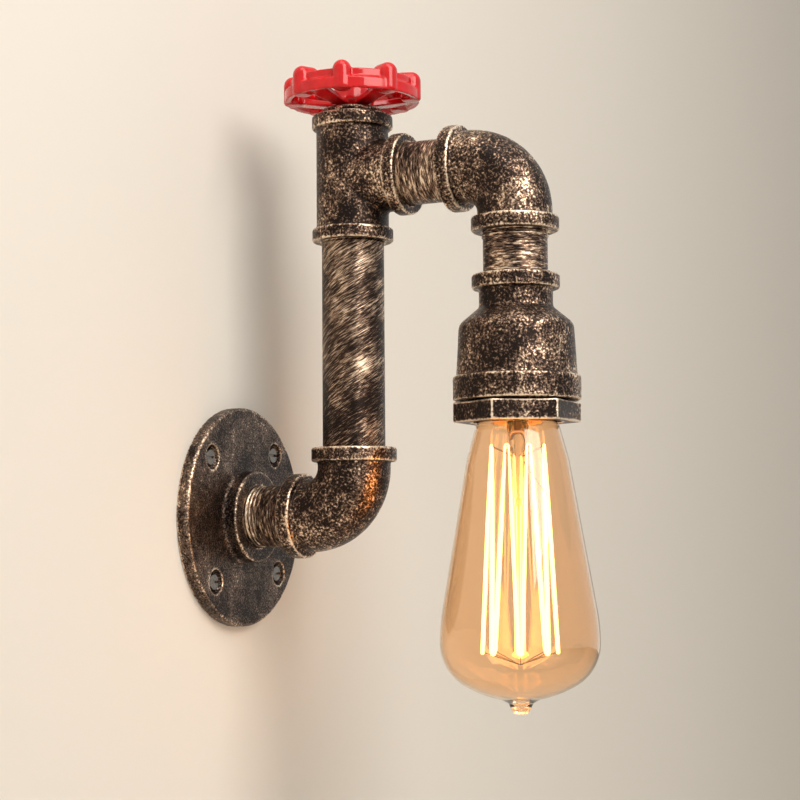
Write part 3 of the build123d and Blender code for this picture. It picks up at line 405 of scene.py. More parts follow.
HOT_WIRE = BulbMatter("glowing_filament", "#FFC878", 0.5, 0.0, "#FFC878", 8.0)


# ---- mesh tools
@dataclass(frozen=True)
class Corner:
    """One corner of a turned outline: radius and height from the piece's foot, with its rounding, in mm."""

    r: float
    z: float
    round: float = 0.0
    steps: int = 5


def moved(corners: Sequence[Corner], r: float = 0.0, z: float = 0.0) -> list[Corner]:
    """Shift corners by a radius and a height."""
    return [replace(corner, r=corner.r + r, z=corner.z + z) for corner in corners]


def rounded(corners: Sequence[Corner]) -> Points:
    """Round an open outline's corners.

    Args:
        corners: Corners in order.

    Returns:
        Points of the rounded outline.
    """
    points: Points = []
    for i, corner in enumerate(corners):
        here = Vector((corner.r, corner.z))
        if corner.round <= 0 or i in (0, len(corners) - 1):
            points.append(tuple(here))
            continue
        before = Vector((corners[i - 1].r, corners[i - 1].z)) - here
        after = Vector((corners[i + 1].r, corners[i + 1].z)) - here
        half = before.angle(after) / 2
        reach = min(corner.round / math.tan(half), before.length * 0.49, after.length * 0.49)
        radius = reach * math.tan(half)
        centre = here + (before.normalized() + after.normalized()).normalized() * (radius / math.sin(half))
        start = here + before.normalized() * reach - centre
        end = here + after.normalized() * reach - centre
        for k in range(corner.steps + 1):
            t = k / corner.steps
            arm = (start * (1 - t) + end * t).normalized() * radius
            points.append(tuple(centre + arm))
    return points


def refined(points: Outline, step: float) -> Points:
    """Split the long stretches of an outline.

    Args:
        points: Outline to split.
        step: Longest stretch to leave, in mm.

    Returns:
        The finer outline.
    """
    fine = [points[0]]
    for (r0, z0), (r1, z1) in zip(points, points[1:]):
        count = max(1, math.ceil(math.hypot(r1 - r0, z1 - z0) / step))
        fine += [(r0 + (r1 - r0) * k / count, z0 + (z1 - z0) * k / count) for k in range(1, count + 1)]
    return fine


def arc(centre_r: float, centre_z: float, radius: float, start: float, end: float, steps: int) -> Points:
    """Points of an arc in a turned outline, its angles in degrees from straight outwards."""
    angles = [math.radians(start + (end - start) * k / steps) for k in range(steps + 1)]
    return [(centre_r + radius * math.cos(a), centre_z + radius * math.sin(a)) for a in angles]


@contextmanager
def editing(mesh: Mesh) -> Iterator[bmesh.types.BMesh]:
    """Open a mesh for editing, and write it back at the end.

    Args:
        mesh: Mesh to edit.

    Yields:
        Its editable form.
    """
    work = bmesh.new()
    work.from_mesh(mesh)
    yield work
    work.to_mesh(mesh)
    work.free()


def new_object(name: str, data: bpy.types.ID) -> Object:
    """Put a mesh, curve, camera or lamp into the scene.

    Args:
        name: Object name.
        data: What it shows.

    Returns:
        The object.
    """
    obj = bpy.data.objects.new(name, data)
    bpy.context.scene.collection.objects.link(obj)
    return obj


def smooth_object(name: str, mesh: Mesh) -> Object:
    """Put a mesh into the scene with smooth faces.

    Args:
        name: Name of the object and of its mesh.
        mesh: The mesh.

    Returns:
        The object.
    """
    mesh.name = name
    mesh.shade_smooth()
    return new_object(name, mesh)


def grid_mesh(rings: Sequence[Sequence[Vector]], closed: bool) -> Mesh:
    """Make a tube-like mesh from rings of as many points each.

    Args:
        rings: Points of each ring, in metres.
        closed: Whether the last ring joins the first; else both ends are capped.

    Returns:
        The mesh, with its faces turned outwards.
    """
    count = len(rings[0])
    vertices = [tuple(p) for ring in rings for p in ring]
    faces = []
    for i in range(len(rings) if closed else len(rings) - 1):
        a, b = i * count, (i + 1) % len(rings) * count
        faces += [(a + k, a + (k + 1) % count, b + (k + 1) % count, b + k) for k in range(count)]
    mesh = bpy.data.meshes.new("grid")
    mesh.from_pydata(vertices, [], faces)
    with editing(mesh) as work:
        bmesh.ops.remove_doubles(work, verts=work.verts, dist=1e-7)
        bmesh.ops.holes_fill(work, edges=[edge for edge in work.edges if edge.is_boundary])
        bmesh.ops.recalc_face_normals(work, faces=work.faces)
    return mesh


def turned(outline: Outline, origin: Vector, axis: Axis = Axis.UP, segments: int = 96,
           ripple: Optional[Ripple] = None) -> Mesh:
    """Turn a closed outline about an axis.

    Args:
        outline: Outline to turn.
        origin: Foot of the axis, in metres.
        axis: Direction of the axis.
        segments: Points round the axis.
        ripple: Adds to the radius, from radius, height and angle.

    Returns:
        The mesh.
    """
    place = Matrix.Translation(origin) @ axis.value
    rings = []
    for r, z in outline:
        ring = []
        for k in range(segments):
            angle = 2 * math.pi * k / segments
            radius = max(r + (ripple(r, z, angle) if ripple and r > 0 else 0.0), 0.0) * MM
            ring.append(place @ Vector((radius * math.cos(angle), radius * math.sin(angle), z * MM)))
        rings.append(ring)
    return grid_mesh(rings, True)


def wire(name: str, routes: Sequence[Route]) -> Object:
    """Bend round wires.

    Args:
        name: Piece name.
        routes: One for each wire.

    Returns:
        A curve object.
    """
    curve = bpy.data.curves.new(name, "CURVE")
    curve.dimensions = "3D"
    curve.bevel_depth = MM
    curve.bevel_resolution = 2
    curve.use_fill_caps = True
    for route in routes:
        spline = curve.splines.new("NURBS")
        spline.points.add(len(route) - 1)
        for point, (place, radius) in zip(spline.points, route):
            point.co = (*place, 1.0)
            point.radius = radius
        spline.order_u = 3
        spline.use_endpoint_u = True
        spline.resolution_u = 4
    return new_object(name, curve)


def skinned(name: str, mesh: Mesh, voxel_mm: float, relax: int) -> Object:
    """Cover a closed mesh with an even, slightly softened skin, as sand casting leaves it.

    Args:
        name: Piece name.
        mesh: Closed mesh, used up by this.
        voxel_mm: Size of the skin's faces.
        relax: Smoothing rounds.

    Returns:
        The new object.
    """
    draft = new_object(name + "_draft", mesh)
    remesh = draft.modifiers.new("skin", "REMESH")
    remesh.mode = "VOXEL"
    remesh.voxel_size = voxel_mm * MM
    smooth = draft.modifiers.new("relax", "SMOOTH")
    smooth.factor = 0.5
    smooth.iterations = relax
    graph = bpy.context.evaluated_depsgraph_get()
    skin = bpy.data.meshes.new_from_object(draft.evaluated_get(graph))
    bpy.data.objects.remove(draft)
    return smooth_object(name, skin)


def rows(mesh: Mesh, what: str) -> np.ndarray:
    """Read a vector of every vertex.

    Args:
        mesh: Mesh to read.
        what: "co" for places or "normal" for normals.

    Returns:
        An array with a row for each vertex.
    """
    flat = np.empty(len(mesh.vertices) * 3, np.float32)
    mesh.vertices.foreach_get(what, flat)
    return flat.reshape(-1, 3).astype(float)


def mark_wear(obj: Object, low: float = 0.45, high: float = 1.3) -> None:
    """Store how sharply each point bulges as the attribute "wear", from 0 on flats to 1 on rubbed edges.

    Args:
        obj: Piece with an evenly meshed surface.
        low: Bulge, per mm, where wear starts.
        high: Bulge, per mm, where it is full.
    """
    mesh = obj.data
    count = len(mesh.vertices)
    place = rows(mesh, "co")
    normals = rows(mesh, "normal")
    ends = np.empty(len(mesh.edges) * 2, np.int32)
    mesh.edges.foreach_get("vertices", ends)
    a, b = ends.reshape(-1, 2).T
    span = place[a] - place[b]
    length = np.maximum((span ** 2).sum(1), 1e-12)
    bulge = ((normals[a] - normals[b]) * span).sum(1) / length * MM
    worst = np.full(count, -1.0)
    np.maximum.at(worst, a, bulge)
    np.maximum.at(worst, b, bulge)
    wear = np.clip((worst - low) / (high - low), 0.0, 1.0)
    weight = np.bincount(a, minlength=count) + np.bincount(b, minlength=count) + 1.0
    wear = (wear + np.bincount(a, wear[b], count) + np.bincount(b, wear[a], count)) / weight
    layer = mesh.attributes.new("wear", "FLOAT", "POINT")
    layer.data.foreach_set("value", wear.astype(np.float32))


def rough_cast(obj: Object, lump_mm: float, height_mm: float, flat_behind: float) -> None:
    """Push a surface in by gentle lumps, as a sand mould leaves it, never outwards.

    Args:
        obj: Piece to roughen.
        lump_mm: Width of a lump.
        height_mm: Depth between lumps.
        flat_behind: Points behind this Y, in mm, stay flat.
    """
    mesh = obj.data
    place = rows(mesh, "co")
    level = np.array([noise.noise(p) for p in (place * per_metre(lump_mm)).tolist()]) * 0.5 + 0.5
    level[place[:, 1] > flat_behind * MM] = 0.0
    place -= rows(mesh, "normal") * (level * height_mm * MM)[:, None]
    mesh.vertices.foreach_set("co", place.astype(np.float32).ravel())
    mesh.update()


def mark_brush(obj: Object, axis: Axis, centre: Vector, lead_mm: float, along: float, across: float) -> None:
    """Store stretched coordinates as the attribute "brush", for a pattern in strokes round the piece.

    Args:
        obj: Turned piece.
        axis: Its axis.
        centre: A point on its axis, in metres.
        lead_mm: Rise of a stroke in one full turn.
        along: Scale along the piece.
        across: Scale round the piece.
    """
    mesh = obj.data
    back = (Matrix.Translation(centre) @ axis.value).inverted()
    values = []
    for vertex in mesh.vertices:
        local = back @ vertex.co
        radius = math.hypot(local.x, local.y)
        turn = math.atan2(local.y, local.x) - local.z / (lead_mm * MM) * 2 * math.pi
        values += [radius * math.cos(turn) * across, radius * math.sin(turn) * across, local.z * along]
    layer = mesh.attributes.new("brush", "FLOAT_VECTOR", "POINT")
    layer.data.foreach_set("vector", values)


def dress(obj: Object, finish: Finish, body: Body, slot: str, *nodes: str) -> None:
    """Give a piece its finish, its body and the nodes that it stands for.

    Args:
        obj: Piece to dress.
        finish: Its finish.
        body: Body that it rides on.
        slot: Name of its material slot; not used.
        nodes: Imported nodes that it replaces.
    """
    obj.data.materials.clear()
    obj.data.materials.append(finish.material())
    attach(obj, body.value)
    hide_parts(*nodes)
    LOG.info("%s dressed as %s", obj.name, finish.name)


def repaint(finish: Finish, *nodes: str) -> None:
    """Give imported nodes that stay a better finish.

    Args:
        finish: The finish.
        nodes: The nodes.
    """
    for node in nodes:
        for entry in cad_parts[node].material_slots:
            entry.material = finish.material()
        LOG.info("%s repainted as %s", node, finish.name)


def middle(node: str) -> Vector:
    """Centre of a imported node's box."""
    low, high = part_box(node)
    return (low + high) / 2


# ---- the wall end and the pipework
@dataclass
class Casting:
    """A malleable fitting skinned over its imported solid."""

    name: str
    node: str
    finish: Finish = CASTING
    skin: float = 0.45
    relax: int = 3
    lump: float = 4.0
    lump_height: float = 0.12
    flat_behind: float = math.inf
    slot: str = "bronze_casting"

    def build(self) -> None:
        """Skin, roughen and wear the fitting."""
        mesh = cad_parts[self.node].data.copy()
        mesh.materials.clear()
        with editing(mesh) as work:
            bmesh.ops.remove_doubles(work, verts=work.verts, dist=1e-6)
        obj = skinned(self.name, mesh, self.skin, self.relax)
        if self.lump_height:
            rough_cast(obj, self.lump, self.lump_height, self.flat_behind)
        mark_wear(obj)
        dress(obj, self.finish, Body.FIXTURE, self.slot, self.node)


@dataclass
class WallFlange:
    """Round cast flange with its wall screws and the earth terminal in its back."""

    skin: float = 0.5
    lump: float = 5.0
    lump_height: float = 0.14
    flat_behind: float = -0.3        # keeps the back flat on the wall

    def build(self) -> None:
        """Skin the casting and repaint the small steel."""
        Casting("cast_flange", "wall_flange", FLANGE, self.skin, lump=self.lump, lump_height=self.lump_height,
                flat_behind=self.flat_behind).build()
        repaint(SCREW, "mounting_screws")
        repaint(ZINC, "earth_screw", "earth_washer")


@dataclass
class ThreadedPipe:
    """A length of pipe whose taper thread shows for a turn or two outside each fitting."""

    name: str
    node: str
    axis: Axis
    finish: Finish = NIPPLE
    bore: float = 20.9
    chamfer: float = 0.8
    hidden: float = 12.0             # goes into the fitting
    runout: float = 0.9              # thread that still shows, fading
    pitch: float = 1.814             # 14 turns to the inch
    steps_per_turn: int = 6
    depth: float = 0.55
    crest_at: float = 0.0            # from the top end, a thread crest left proud; 0 for none
    crest_t: float = 0.9
    crest: float = 0.55
    segments: int = 112
    wear: tuple[float, float] = (0.3, 2.2)
    stroke_lead: float = 1e6
    along: float = 1.5
    across: float = 0.3

    def build(self) -> None:
        """Turn the pipe, cut its threads and lay its brush strokes."""
        low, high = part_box(self.node)
        centre = middle(self.node)
        size = (high - low) / MM
        radius = size.x / 2
        if self.axis is Axis.UP:
            length, foot = size.z, Vector((centre.x, centre.y, low.z))
        else:
            length, foot = size.y, Vector((centre.x, high.y, centre.z))

        def cut(r: float, z: float, angle: float) -> float:
            """Cut the thread and leave the proud crest, at a point of the outer wall.

            Args:
                r: Radius of the point, in mm.
                z: Its height over the foot, in mm.
                angle: Its angle round the axis, in radians.

            Returns:
                Height to add there, in mm; below zero in the thread.
            """
            if r < self.bore / 2 + self.chamfer:
                return 0.0
            from_end = min(z, length - z)
            fade = min(max((self.hidden + self.runout - from_end) / self.runout, 0.0), 1.0)
            phase = (z / self.pitch - angle / (2 * math.pi)) % 1.0
            at_crest = self.crest_at and abs(length - z - self.crest_at) < self.crest_t / 2
            return (self.crest if at_crest else 0.0) - self.depth * fade * (1.0 - abs(2.0 * phase - 1.0))

        outer = refined([(radius - self.chamfer, 0), (radius, self.chamfer), (radius, length - self.chamfer),
                         (radius - self.chamfer, length)], self.pitch / self.steps_per_turn)
        inner = [(self.bore / 2, length), (self.bore / 2, 0)]
        obj = smooth_object(self.name, turned(outer + inner, foot, self.axis, self.segments, cut))
        mark_wear(obj, *self.wear)
        mark_brush(obj, self.axis, foot, self.stroke_lead, self.along, self.across)
        dress(obj, self.finish, Body.FIXTURE, "bronze_pipe", self.node)


@dataclass
class Pipework:
    """Nipples, elbows, riser, tee and plug, from the flange to the cup."""

    riser_stroke_lead: float = 50.0
    riser_along: float = 0.42
    riser_across: float = 1.7
    crest_over_cup: float = 14.0
    plug_skin: float = 0.4

    def build(self) -> None:
        """Build every fitting and pipe."""
        for part in (
            Casting("elbow_at_wall", "lower_elbow"),
            Casting("elbow_over_cup", "upper_elbow"),
            Casting("cast_tee", "tee"),
            ThreadedPipe("nipple_at_flange", "flange_nipple", Axis.FROM_WALL),
            ThreadedPipe("riser", "riser_pipe", Axis.UP, RISER, stroke_lead=self.riser_stroke_lead,
                         along=self.riser_along, across=self.riser_across),
            ThreadedPipe("nipple_at_tee", "branch_nipple", Axis.FROM_WALL),
            ThreadedPipe("nipple_over_cup", "drop_nipple", Axis.UP, crest_at=self.crest_over_cup),
            Casting("top_plug", "tee_plug", CASTING, self.plug_skin, 2, lump_height=0.0, slot="bronze_pipe"),
        ):
            part.build()


# ---- the handwheel
@dataclass
class ValveWheel:
    """Red enamelled handwheel on a blackened spindle, under a nut. Heights are from the rim's foot."""

    rim: Outline = ((26.2, 0.4), (29.0, 0.0), (29.0, 4.6), (26.5, 5.7), (26.5, 9.1), (23.5, 9.1), (22.9, 5.7))
    boss: Outline = ((4.08, -2.55), (7.7, -2.55), (9.1, 0.45), (7.7, 5.85), (4.08, 5.85))
    boss_foot: float = -2.55
    spokes: int = 5
    spoke_turn: float = 25.5
    spoke_r: tuple[float, float] = (6.08, 26.6)           # from and to
    spoke_w: tuple[float, float] = (6.88, 4.0)            # at the boss, and what the rim end adds
    spoke_t: float = 2.7
    spoke_taper: float = 0.8
    spoke_low: float = -2.15
    spoke_rise: float = 3.4
    spoke_steps: int = 4
    fingers: int = 8
    finger_turn: float = 18.0
    finger_w: float = 8.0
    finger_r: float = 30.0
    finger_l: float = 12.4
    finger_depth: float = 0.7        # of the upright on the rim, between the centres of its round ends
    finger_top: float = 12.5
    finger_foot: float = -0.2
    foot_round: float = 0.8
    dome: tuple[int, ...] = (20, 40, 60, 76, 86)          # degrees, rings of a finger's round top
    ridge_t: float = 6.4
    finger_segments: int = 24
    skin: float = 0.38
    relax: int = 7

    def build(self) -> None:
        """Cast the wheel and repaint its spindle, washer and nut."""
        axis = middle("handwheel")
        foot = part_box("handwheel")[0].z - self.boss_foot * MM
        self.centre = Vector((axis.x, axis.y, foot))
        dress(self.cast(), ENAMEL, Body.WHEEL, "red_enamel", "handwheel")
        repaint(BLACK_STEEL, "wheel_stem", "wheel_washer", "wheel_nut")

    def cast(self) -> Object:
        """Melt rim, boss, spokes and fingers into one softly rounded casting.

        Returns:
            The wheel.
        """
        parts = [turned(self.rim, self.centre), turned(self.boss, self.centre)]
        parts += [self.spoke(self.spoke_turn + 360 / self.spokes * k) for k in range(self.spokes)]
        outer = self.finger_r - self.finger_w / 2
        inner = self.finger_r - self.finger_l + self.finger_w / 2
        for k in range(self.fingers):
            angle = self.finger_turn + 360 / self.fingers * k
            parts.append(self.knob(angle, outer - self.finger_depth, outer, self.finger_foot))
            parts.append(self.knob(angle, inner, outer, self.finger_top - self.ridge_t))
        mesh = bpy.data.meshes.new("wheel_draft")
        with editing(mesh) as whole:
            for part in parts:
                whole.from_mesh(part)
        return skinned("enamelled_wheel", mesh, self.skin, self.relax)

    def bar(self, angle: float, sections: Sequence[Sequence[tuple[float, float, float]]]) -> Mesh:
        """Mesh a closed bar through its sections.

        Args:
            angle: Direction of the radius that it lies on, in degrees.
            sections: Points of each section as reach, side and height, in mm.

        Returns:
            The mesh.
        """
        turn = Matrix.Translation(self.centre) @ Matrix.Rotation(math.radians(angle), 4, "Z")
        rings = [[turn @ Vector([c * MM for c in point]) for point in section] for section in sections]
        return grid_mesh(rings, False)

    def spoke(self, angle: float) -> Mesh:
        """Mesh a dished spoke from the boss up to the rim, wider at the rim.

        Args:
            angle: Its direction, in degrees.

        Returns:
            The mesh.
        """
        sections = []
        for k in range(self.spoke_steps + 1):
            share = k / self.spoke_steps
            reach = self.spoke_r[0] + (self.spoke_r[1] - self.spoke_r[0]) * share
            half = (self.spoke_w[0] + self.spoke_w[1] * share * share) / 2
            base = self.spoke_low + self.spoke_rise * share
            top, narrow = base + self.spoke_t, half * self.spoke_taper
            sections.append([(reach, -half, base), (reach, half, base),
                             (reach, narrow, top), (reach, -narrow, top)])
        return self.bar(angle, sections)

    def knob(self, angle: float, inner: float, outer: float, foot: float) -> Mesh:
        """Mesh an upright rounded bar along a radius, with a full round top.

        Args:
            angle: Direction of the radius, in degrees.
            inner: Inner end's centre, in mm.
            outer: Outer end's centre.
            foot: Its lowest height.

        Returns:
            The mesh.
        """
        half = self.finger_w / 2
        spring = self.finger_top - half
        levels = [(half - self.foot_round, foot), (half, foot + self.foot_round), (half, spring)]
        levels += [(half * math.cos(a), spring + half * math.sin(a)) for a in map(math.radians, self.dome)]
        turns = [2 * math.pi * k / self.finger_segments for k in range(self.finger_segments)]
        return self.bar(angle, [[((outer if math.cos(a) > 0 else inner) + width * math.cos(a),
                                  width * math.sin(a), z) for a in turns] for width, z in levels])


# ---- cup, bushing and lampholder
@dataclass
class BellCup:
    """Bell reducer, hex bushing and the lampholder clamped between them."""

    bushing_skin: float = 0.4
    bushing_lumps: float = 0.08

    def build(self) -> None:
        """Skin the castings and repaint the holder's pieces."""
        Casting("bell_cup", "socket_cup").build()
        Casting("hexagon_bushing", "hex_bushing", BUSHING, self.bushing_skin,
                lump_height=self.bushing_lumps).build()
        repaint(PORCELAIN, "lampholder_body")
        repaint(BRASS, "lampholder_shell", "centre_contact", "terminal_blocks", "contact_rivets")
        repaint(ZINC, "terminal_screws")
        repaint(BROWN, "live_wire")
        repaint(BLUE, "neutral_wire")


# ---- the bulb
@dataclass
class FilamentBulb:
    """Teardrop bulb: a glowing squirrel-cage filament round a glass rod. Depths are from the cap's rim."""

    wall: float = 0.9
    neck: tuple[Corner, ...] = (Corner(12.4, 8.5), Corner(12.4, -0.6, 2.0), Corner(17.0, -5.0, 4.0),
                                Corner(20.9, -19.1, 50.0, 10))
    belly_r: float = 32.6
    belly_drop: float = 93.5
    side_radius: float = 80.0
    side_slope: float = 9.4
    corner_radius: float = 20.0
    crown_drop: float = 23.5         # below the belly
    nib_root_r: float = 8.2
    nib: tuple[Corner, ...] = (Corner(5.0, -0.9, 1.4), Corner(3.6, -4.0, 2.4), Corner(2.232, -5.1, 1.0),
                               Corner(0.0, -5.0))         # from the crown
    dimple: tuple[Corner, ...] = (Corner(2.8, 0.7, 1.2), Corner(1.4, -1.6, 0.8), Corner(0.0, -2.0))
    glass_segments: int = 128
    glass_steps: tuple[int, int, int] = (14, 18, 16)      # of the mesh down the side, corner and crown
    neck_step: float = 4.0
    cage_top_r: float = 11.5
    cage_top_drop: float = 13.5
    cage_bottom_r: float = 15.3
    cage_bottom_drop: float = 97.5
    hooks: int = 8
    turn_half: float = 0.79
    seam: float = 0.18               # from each end of the filament to its seam, in half hook spacings
    cool_wire: float = 0.30          # radius; a hot strand dazzles, so it is drawn thicker
    hot_wire: float = 0.78
    hot_share: float = 0.34          # of a strand, from its top
    bend_share: float = 0.03         # of a strand, at each end
    support_wire: float = 0.22
    rod_r: float = 2.4
    rod_top_drop: float = 18.0
    rod_end_drop: float = 100.0
    anchor: float = 1.0              # of the apex wire, inside the rod's end
    apex_r: float = 0.4
    apex_drop: float = 102.4
    hook_slack: float = 0.3
    tie_turns: tuple[float, ...] = (-3.5, -2.5)           # half hook spacings
    tie_root: float = 2.0            # below the rod's top
    tie_reach: float = 1.3           # past the cage's top
    tie_drop: float = 35.5
    cap_r: float = 13.05             # over the crests of the rolled E27 thread
    cap_root: float = 12.25
    cap_plain_r: float = 12.8
    cap_inner_r: float = 11.55
    cap_mouth_r: float = 11.1        # inside, at the far end
    cap_lip: tuple[float, float] = (0.4, 0.5)             # slope of that end, outside and inside
    cap_flare_r: float = 13.8
    cap_flare_t: tuple[float, float] = (0.65, 1.3)        # at its edge and at the wall
    cap_plain: tuple[float, float] = (3.2, 2.2)           # unthreaded at each end
    cap_pitch: float = 3.629         # 7 turns to the inch
    cap_steps: tuple[float, float] = (0.25, 1.0)          # of the mesh, outside and inside

    def build(self) -> None:
        """Blow the envelope, bend the filament and its supports, roll the cap."""
        axis = middle("glass_envelope")
        self.rim = Vector((axis.x, axis.y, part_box("bulb_shell")[0].z))
        glass = turned(self.envelope(), self.rim, segments=self.glass_segments)
        dress(smooth_object("amber_envelope", glass), AMBER, Body.BULB, "amber_glass", "glass_envelope")
        filament = wire("cage_filament", [self.cage_route()])
        dress(filament, HOT_WIRE, Body.BULB, "glowing_filament", "filament")
        supports = wire("filament_hooks", self.support_routes())
        dress(supports, SUPPORT, Body.BULB, "support_wire", "filament_supports")
        # The glass stem takes a painted glow, brighter towards the filament.
        repaint(PAINTED_GLOW_ROD, "glass_stem")
        repaint(SUPPORT, "lead_wires")
        dress(self.roll_cap(), BRASS, Body.BULB, "cap_metal", "bulb_shell")
        repaint(BLACK_GLASS, "bulb_insulator")
        repaint(SOLDER, "tip_contact")

    def roll_cap(self) -> Object:
        """Roll the thin brass cap with its rounded thread and flared rim.

        Returns:
            The cap.
        """
        low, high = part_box("bulb_shell")
        length = (high.z - low.z) / MM
        plain_r, inner_r = self.cap_plain_r, self.cap_inner_r
        thread_foot, thread_top = self.cap_plain[0], length - self.cap_plain[1]

        def thread(r: float, z: float, angle: float) -> float:
            """Roll the thread, fading in over its first millimetre, at a point of the outer wall.

            Args:
                r: Radius of the point, in mm.
                z: Its height over the rim, in mm.
                angle: Its angle round the axis, in radians.

            Returns:
                Height to add there, in mm.
            """
            if r <= inner_r or not thread_foot < z < thread_top:
                return 0.0
            fade = min(1.0, z - thread_foot, thread_top - z)
            wave = 0.5 - 0.5 * math.cos(2 * math.pi * (z / self.cap_pitch - angle / (2 * math.pi)))
            return fade * (self.cap_r - plain_r - (self.cap_r - self.cap_root) * wave)

        rim = [(self.cap_flare_r, 0.0), (self.cap_flare_r, self.cap_flare_t[0])]
        outside = refined([(plain_r, self.cap_flare_t[1]), (plain_r, length - self.cap_lip[0]),
                           (plain_r - self.cap_lip[0], length)], self.cap_steps[0])
        inside = refined([(self.cap_mouth_r, length), (inner_r, length - self.cap_lip[1]), (inner_r, 0.0)],
                         self.cap_steps[1])
        return smooth_object("rolled_cap", turned(rim + outside + inside, self.rim, ripple=thread))

    def envelope(self) -> Points:
        """Draw the glass wall: down the outside, round the exhaust tip and back up the inside.

        Returns:
            The closed outline.
        """
        crown = -self.belly_drop - self.crown_drop
        outside = self.glass_line(0.0)
        tip = rounded([Corner(*outside[-1]), *moved(self.nib, z=crown)])
        inside = self.glass_line(self.wall)
        dimple = rounded([Corner(*inside[-1]), *moved(self.dimple, z=crown)])
        return outside + tip[1:] + dimple[::-1][:-1] + inside[::-1]

    def glass_line(self, inset: float) -> Points:
        """Draw one face of the glass wall, from the neck's top to the root of the exhaust tip.

        Args:
            inset: Distance inside the outer face.

        Returns:
            Its outline.
        """
        side_r = self.belly_r - self.side_radius
        corner_r = self.belly_r - self.corner_radius
        crown = ((corner_r ** 2 + self.crown_drop ** 2 - self.corner_radius ** 2)
                 / (2 * (self.crown_drop - self.corner_radius)))
        crown_z = crown - self.belly_drop - self.crown_drop
        lean = math.degrees(math.atan2(-self.belly_drop - crown_z, corner_r))
        root = -math.degrees(math.acos(self.nib_root_r / crown))
        side_steps, corner_steps, crown_steps = self.glass_steps
        side = arc(side_r, -self.belly_drop, self.side_radius - inset, self.side_slope, 0.0, side_steps)
        neck = rounded([*moved(self.neck, r=-inset), Corner(*side[0])])
        corner = arc(corner_r, -self.belly_drop, self.corner_radius - inset, 0.0, lean, corner_steps)
        bottom = arc(0.0, crown_z, crown - inset, lean, root, crown_steps)
        return refined(neck, self.neck_step) + side[1:] + corner[1:] + bottom[1:]

    def at(self, radius: float, step: float, drop: float, sideways: float = 0.0) -> Vector:
        """Find a place inside the bulb.

        Args:
            radius: Distance from its axis.
            step: Angle, in half hook spacings.
            drop: Depth below the cap's rim.
            sideways: Shift along the cage.

        Returns:
            The point, in metres.
        """
        angle = math.pi * step / self.hooks
        out = Vector((math.cos(angle), math.sin(angle), 0))
        along = Vector((-out.y, out.x, 0))
        return self.rim + (out * radius + along * sideways - Vector((0, 0, drop))) * MM

    def cage_route(self) -> Route:
        """Route the filament up and down over all its hooks.

        Returns:
            Its route.
        """
        last = 2 * self.hooks
        route = [(self.at(self.cage_top_r, self.seam, self.cage_top_drop), self.cool_wire)]
        for k in range(1, last):
            at_top = k % 2 == 0
            radius, drop, wire_r = ((self.cage_top_r, self.cage_top_drop, self.cool_wire) if at_top
                                    else (self.cage_bottom_r, self.cage_bottom_drop, self.hot_wire))
            turn = [(self.at(radius, k, drop, side), wire_r) for side in (-self.turn_half, self.turn_half)]
            route += self.strand(route[-1][0], turn[0][0], at_top) + turn
        end = self.at(self.cage_top_r, last - self.seam, self.cage_top_drop)
        return route + self.strand(route[-1][0], end, True) + [(end, self.cool_wire)]

    def strand(self, start: Vector, end: Vector, rising: bool) -> Route:
        """Route the wire between two turns, with the point where it gets hot.

        Args:
            start: End of the turn before.
            end: Start of the turn after.
            rising: Whether it goes up.

        Returns:
            The stretch between the turns.
        """
        if rising:
            hot_at, radii = 1 - self.hot_share, (self.hot_wire, self.hot_wire, self.cool_wire)
        else:
            hot_at, radii = self.hot_share, (self.cool_wire, self.hot_wire, self.hot_wire)
        shares = (self.bend_share, hot_at, 1 - self.bend_share)
        return [(start.lerp(end, share), radius) for share, radius in zip(shares, radii)]

    def support_routes(self) -> list[Route]:
        """Route the hooked wires: out to the upper turns, up from the apex to the lower ones, two side ties.

        Returns:
            A route for each wire.
        """
        pairs = []
        for k in range(1, 2 * self.hooks):
            if k % 2 == 0:
                pairs.append((self.at(self.rod_r, k, self.rod_top_drop),
                              self.at(self.cage_top_r, k, self.cage_top_drop + self.hook_slack)))
            else:
                pairs.append((self.at(self.apex_r, k, self.apex_drop),
                              self.at(self.cage_bottom_r, k, self.cage_bottom_drop - self.hook_slack)))
        pairs.append((self.at(0, 0, self.rod_end_drop - self.anchor),
                      self.at(0, 0, self.apex_drop + self.hook_slack)))
        pairs += [(self.at(self.rod_r, step, self.rod_top_drop + self.tie_root),
                   self.at(self.cage_top_r + self.tie_reach, step, self.tie_drop)) for step in self.tie_turns]
        return [[(end, self.support_wire) for end in pair] for pair in pairs]


# ---- the studio
@dataclass(frozen=True)
class Softbox:
    """A plain area lamp facing the light, placed by angles from the camera's side, in metres and watts."""

    name: str
    azimuth: float
    elevation: float
    distance: float
    width: float
    height: float
    power: float
    colour: str


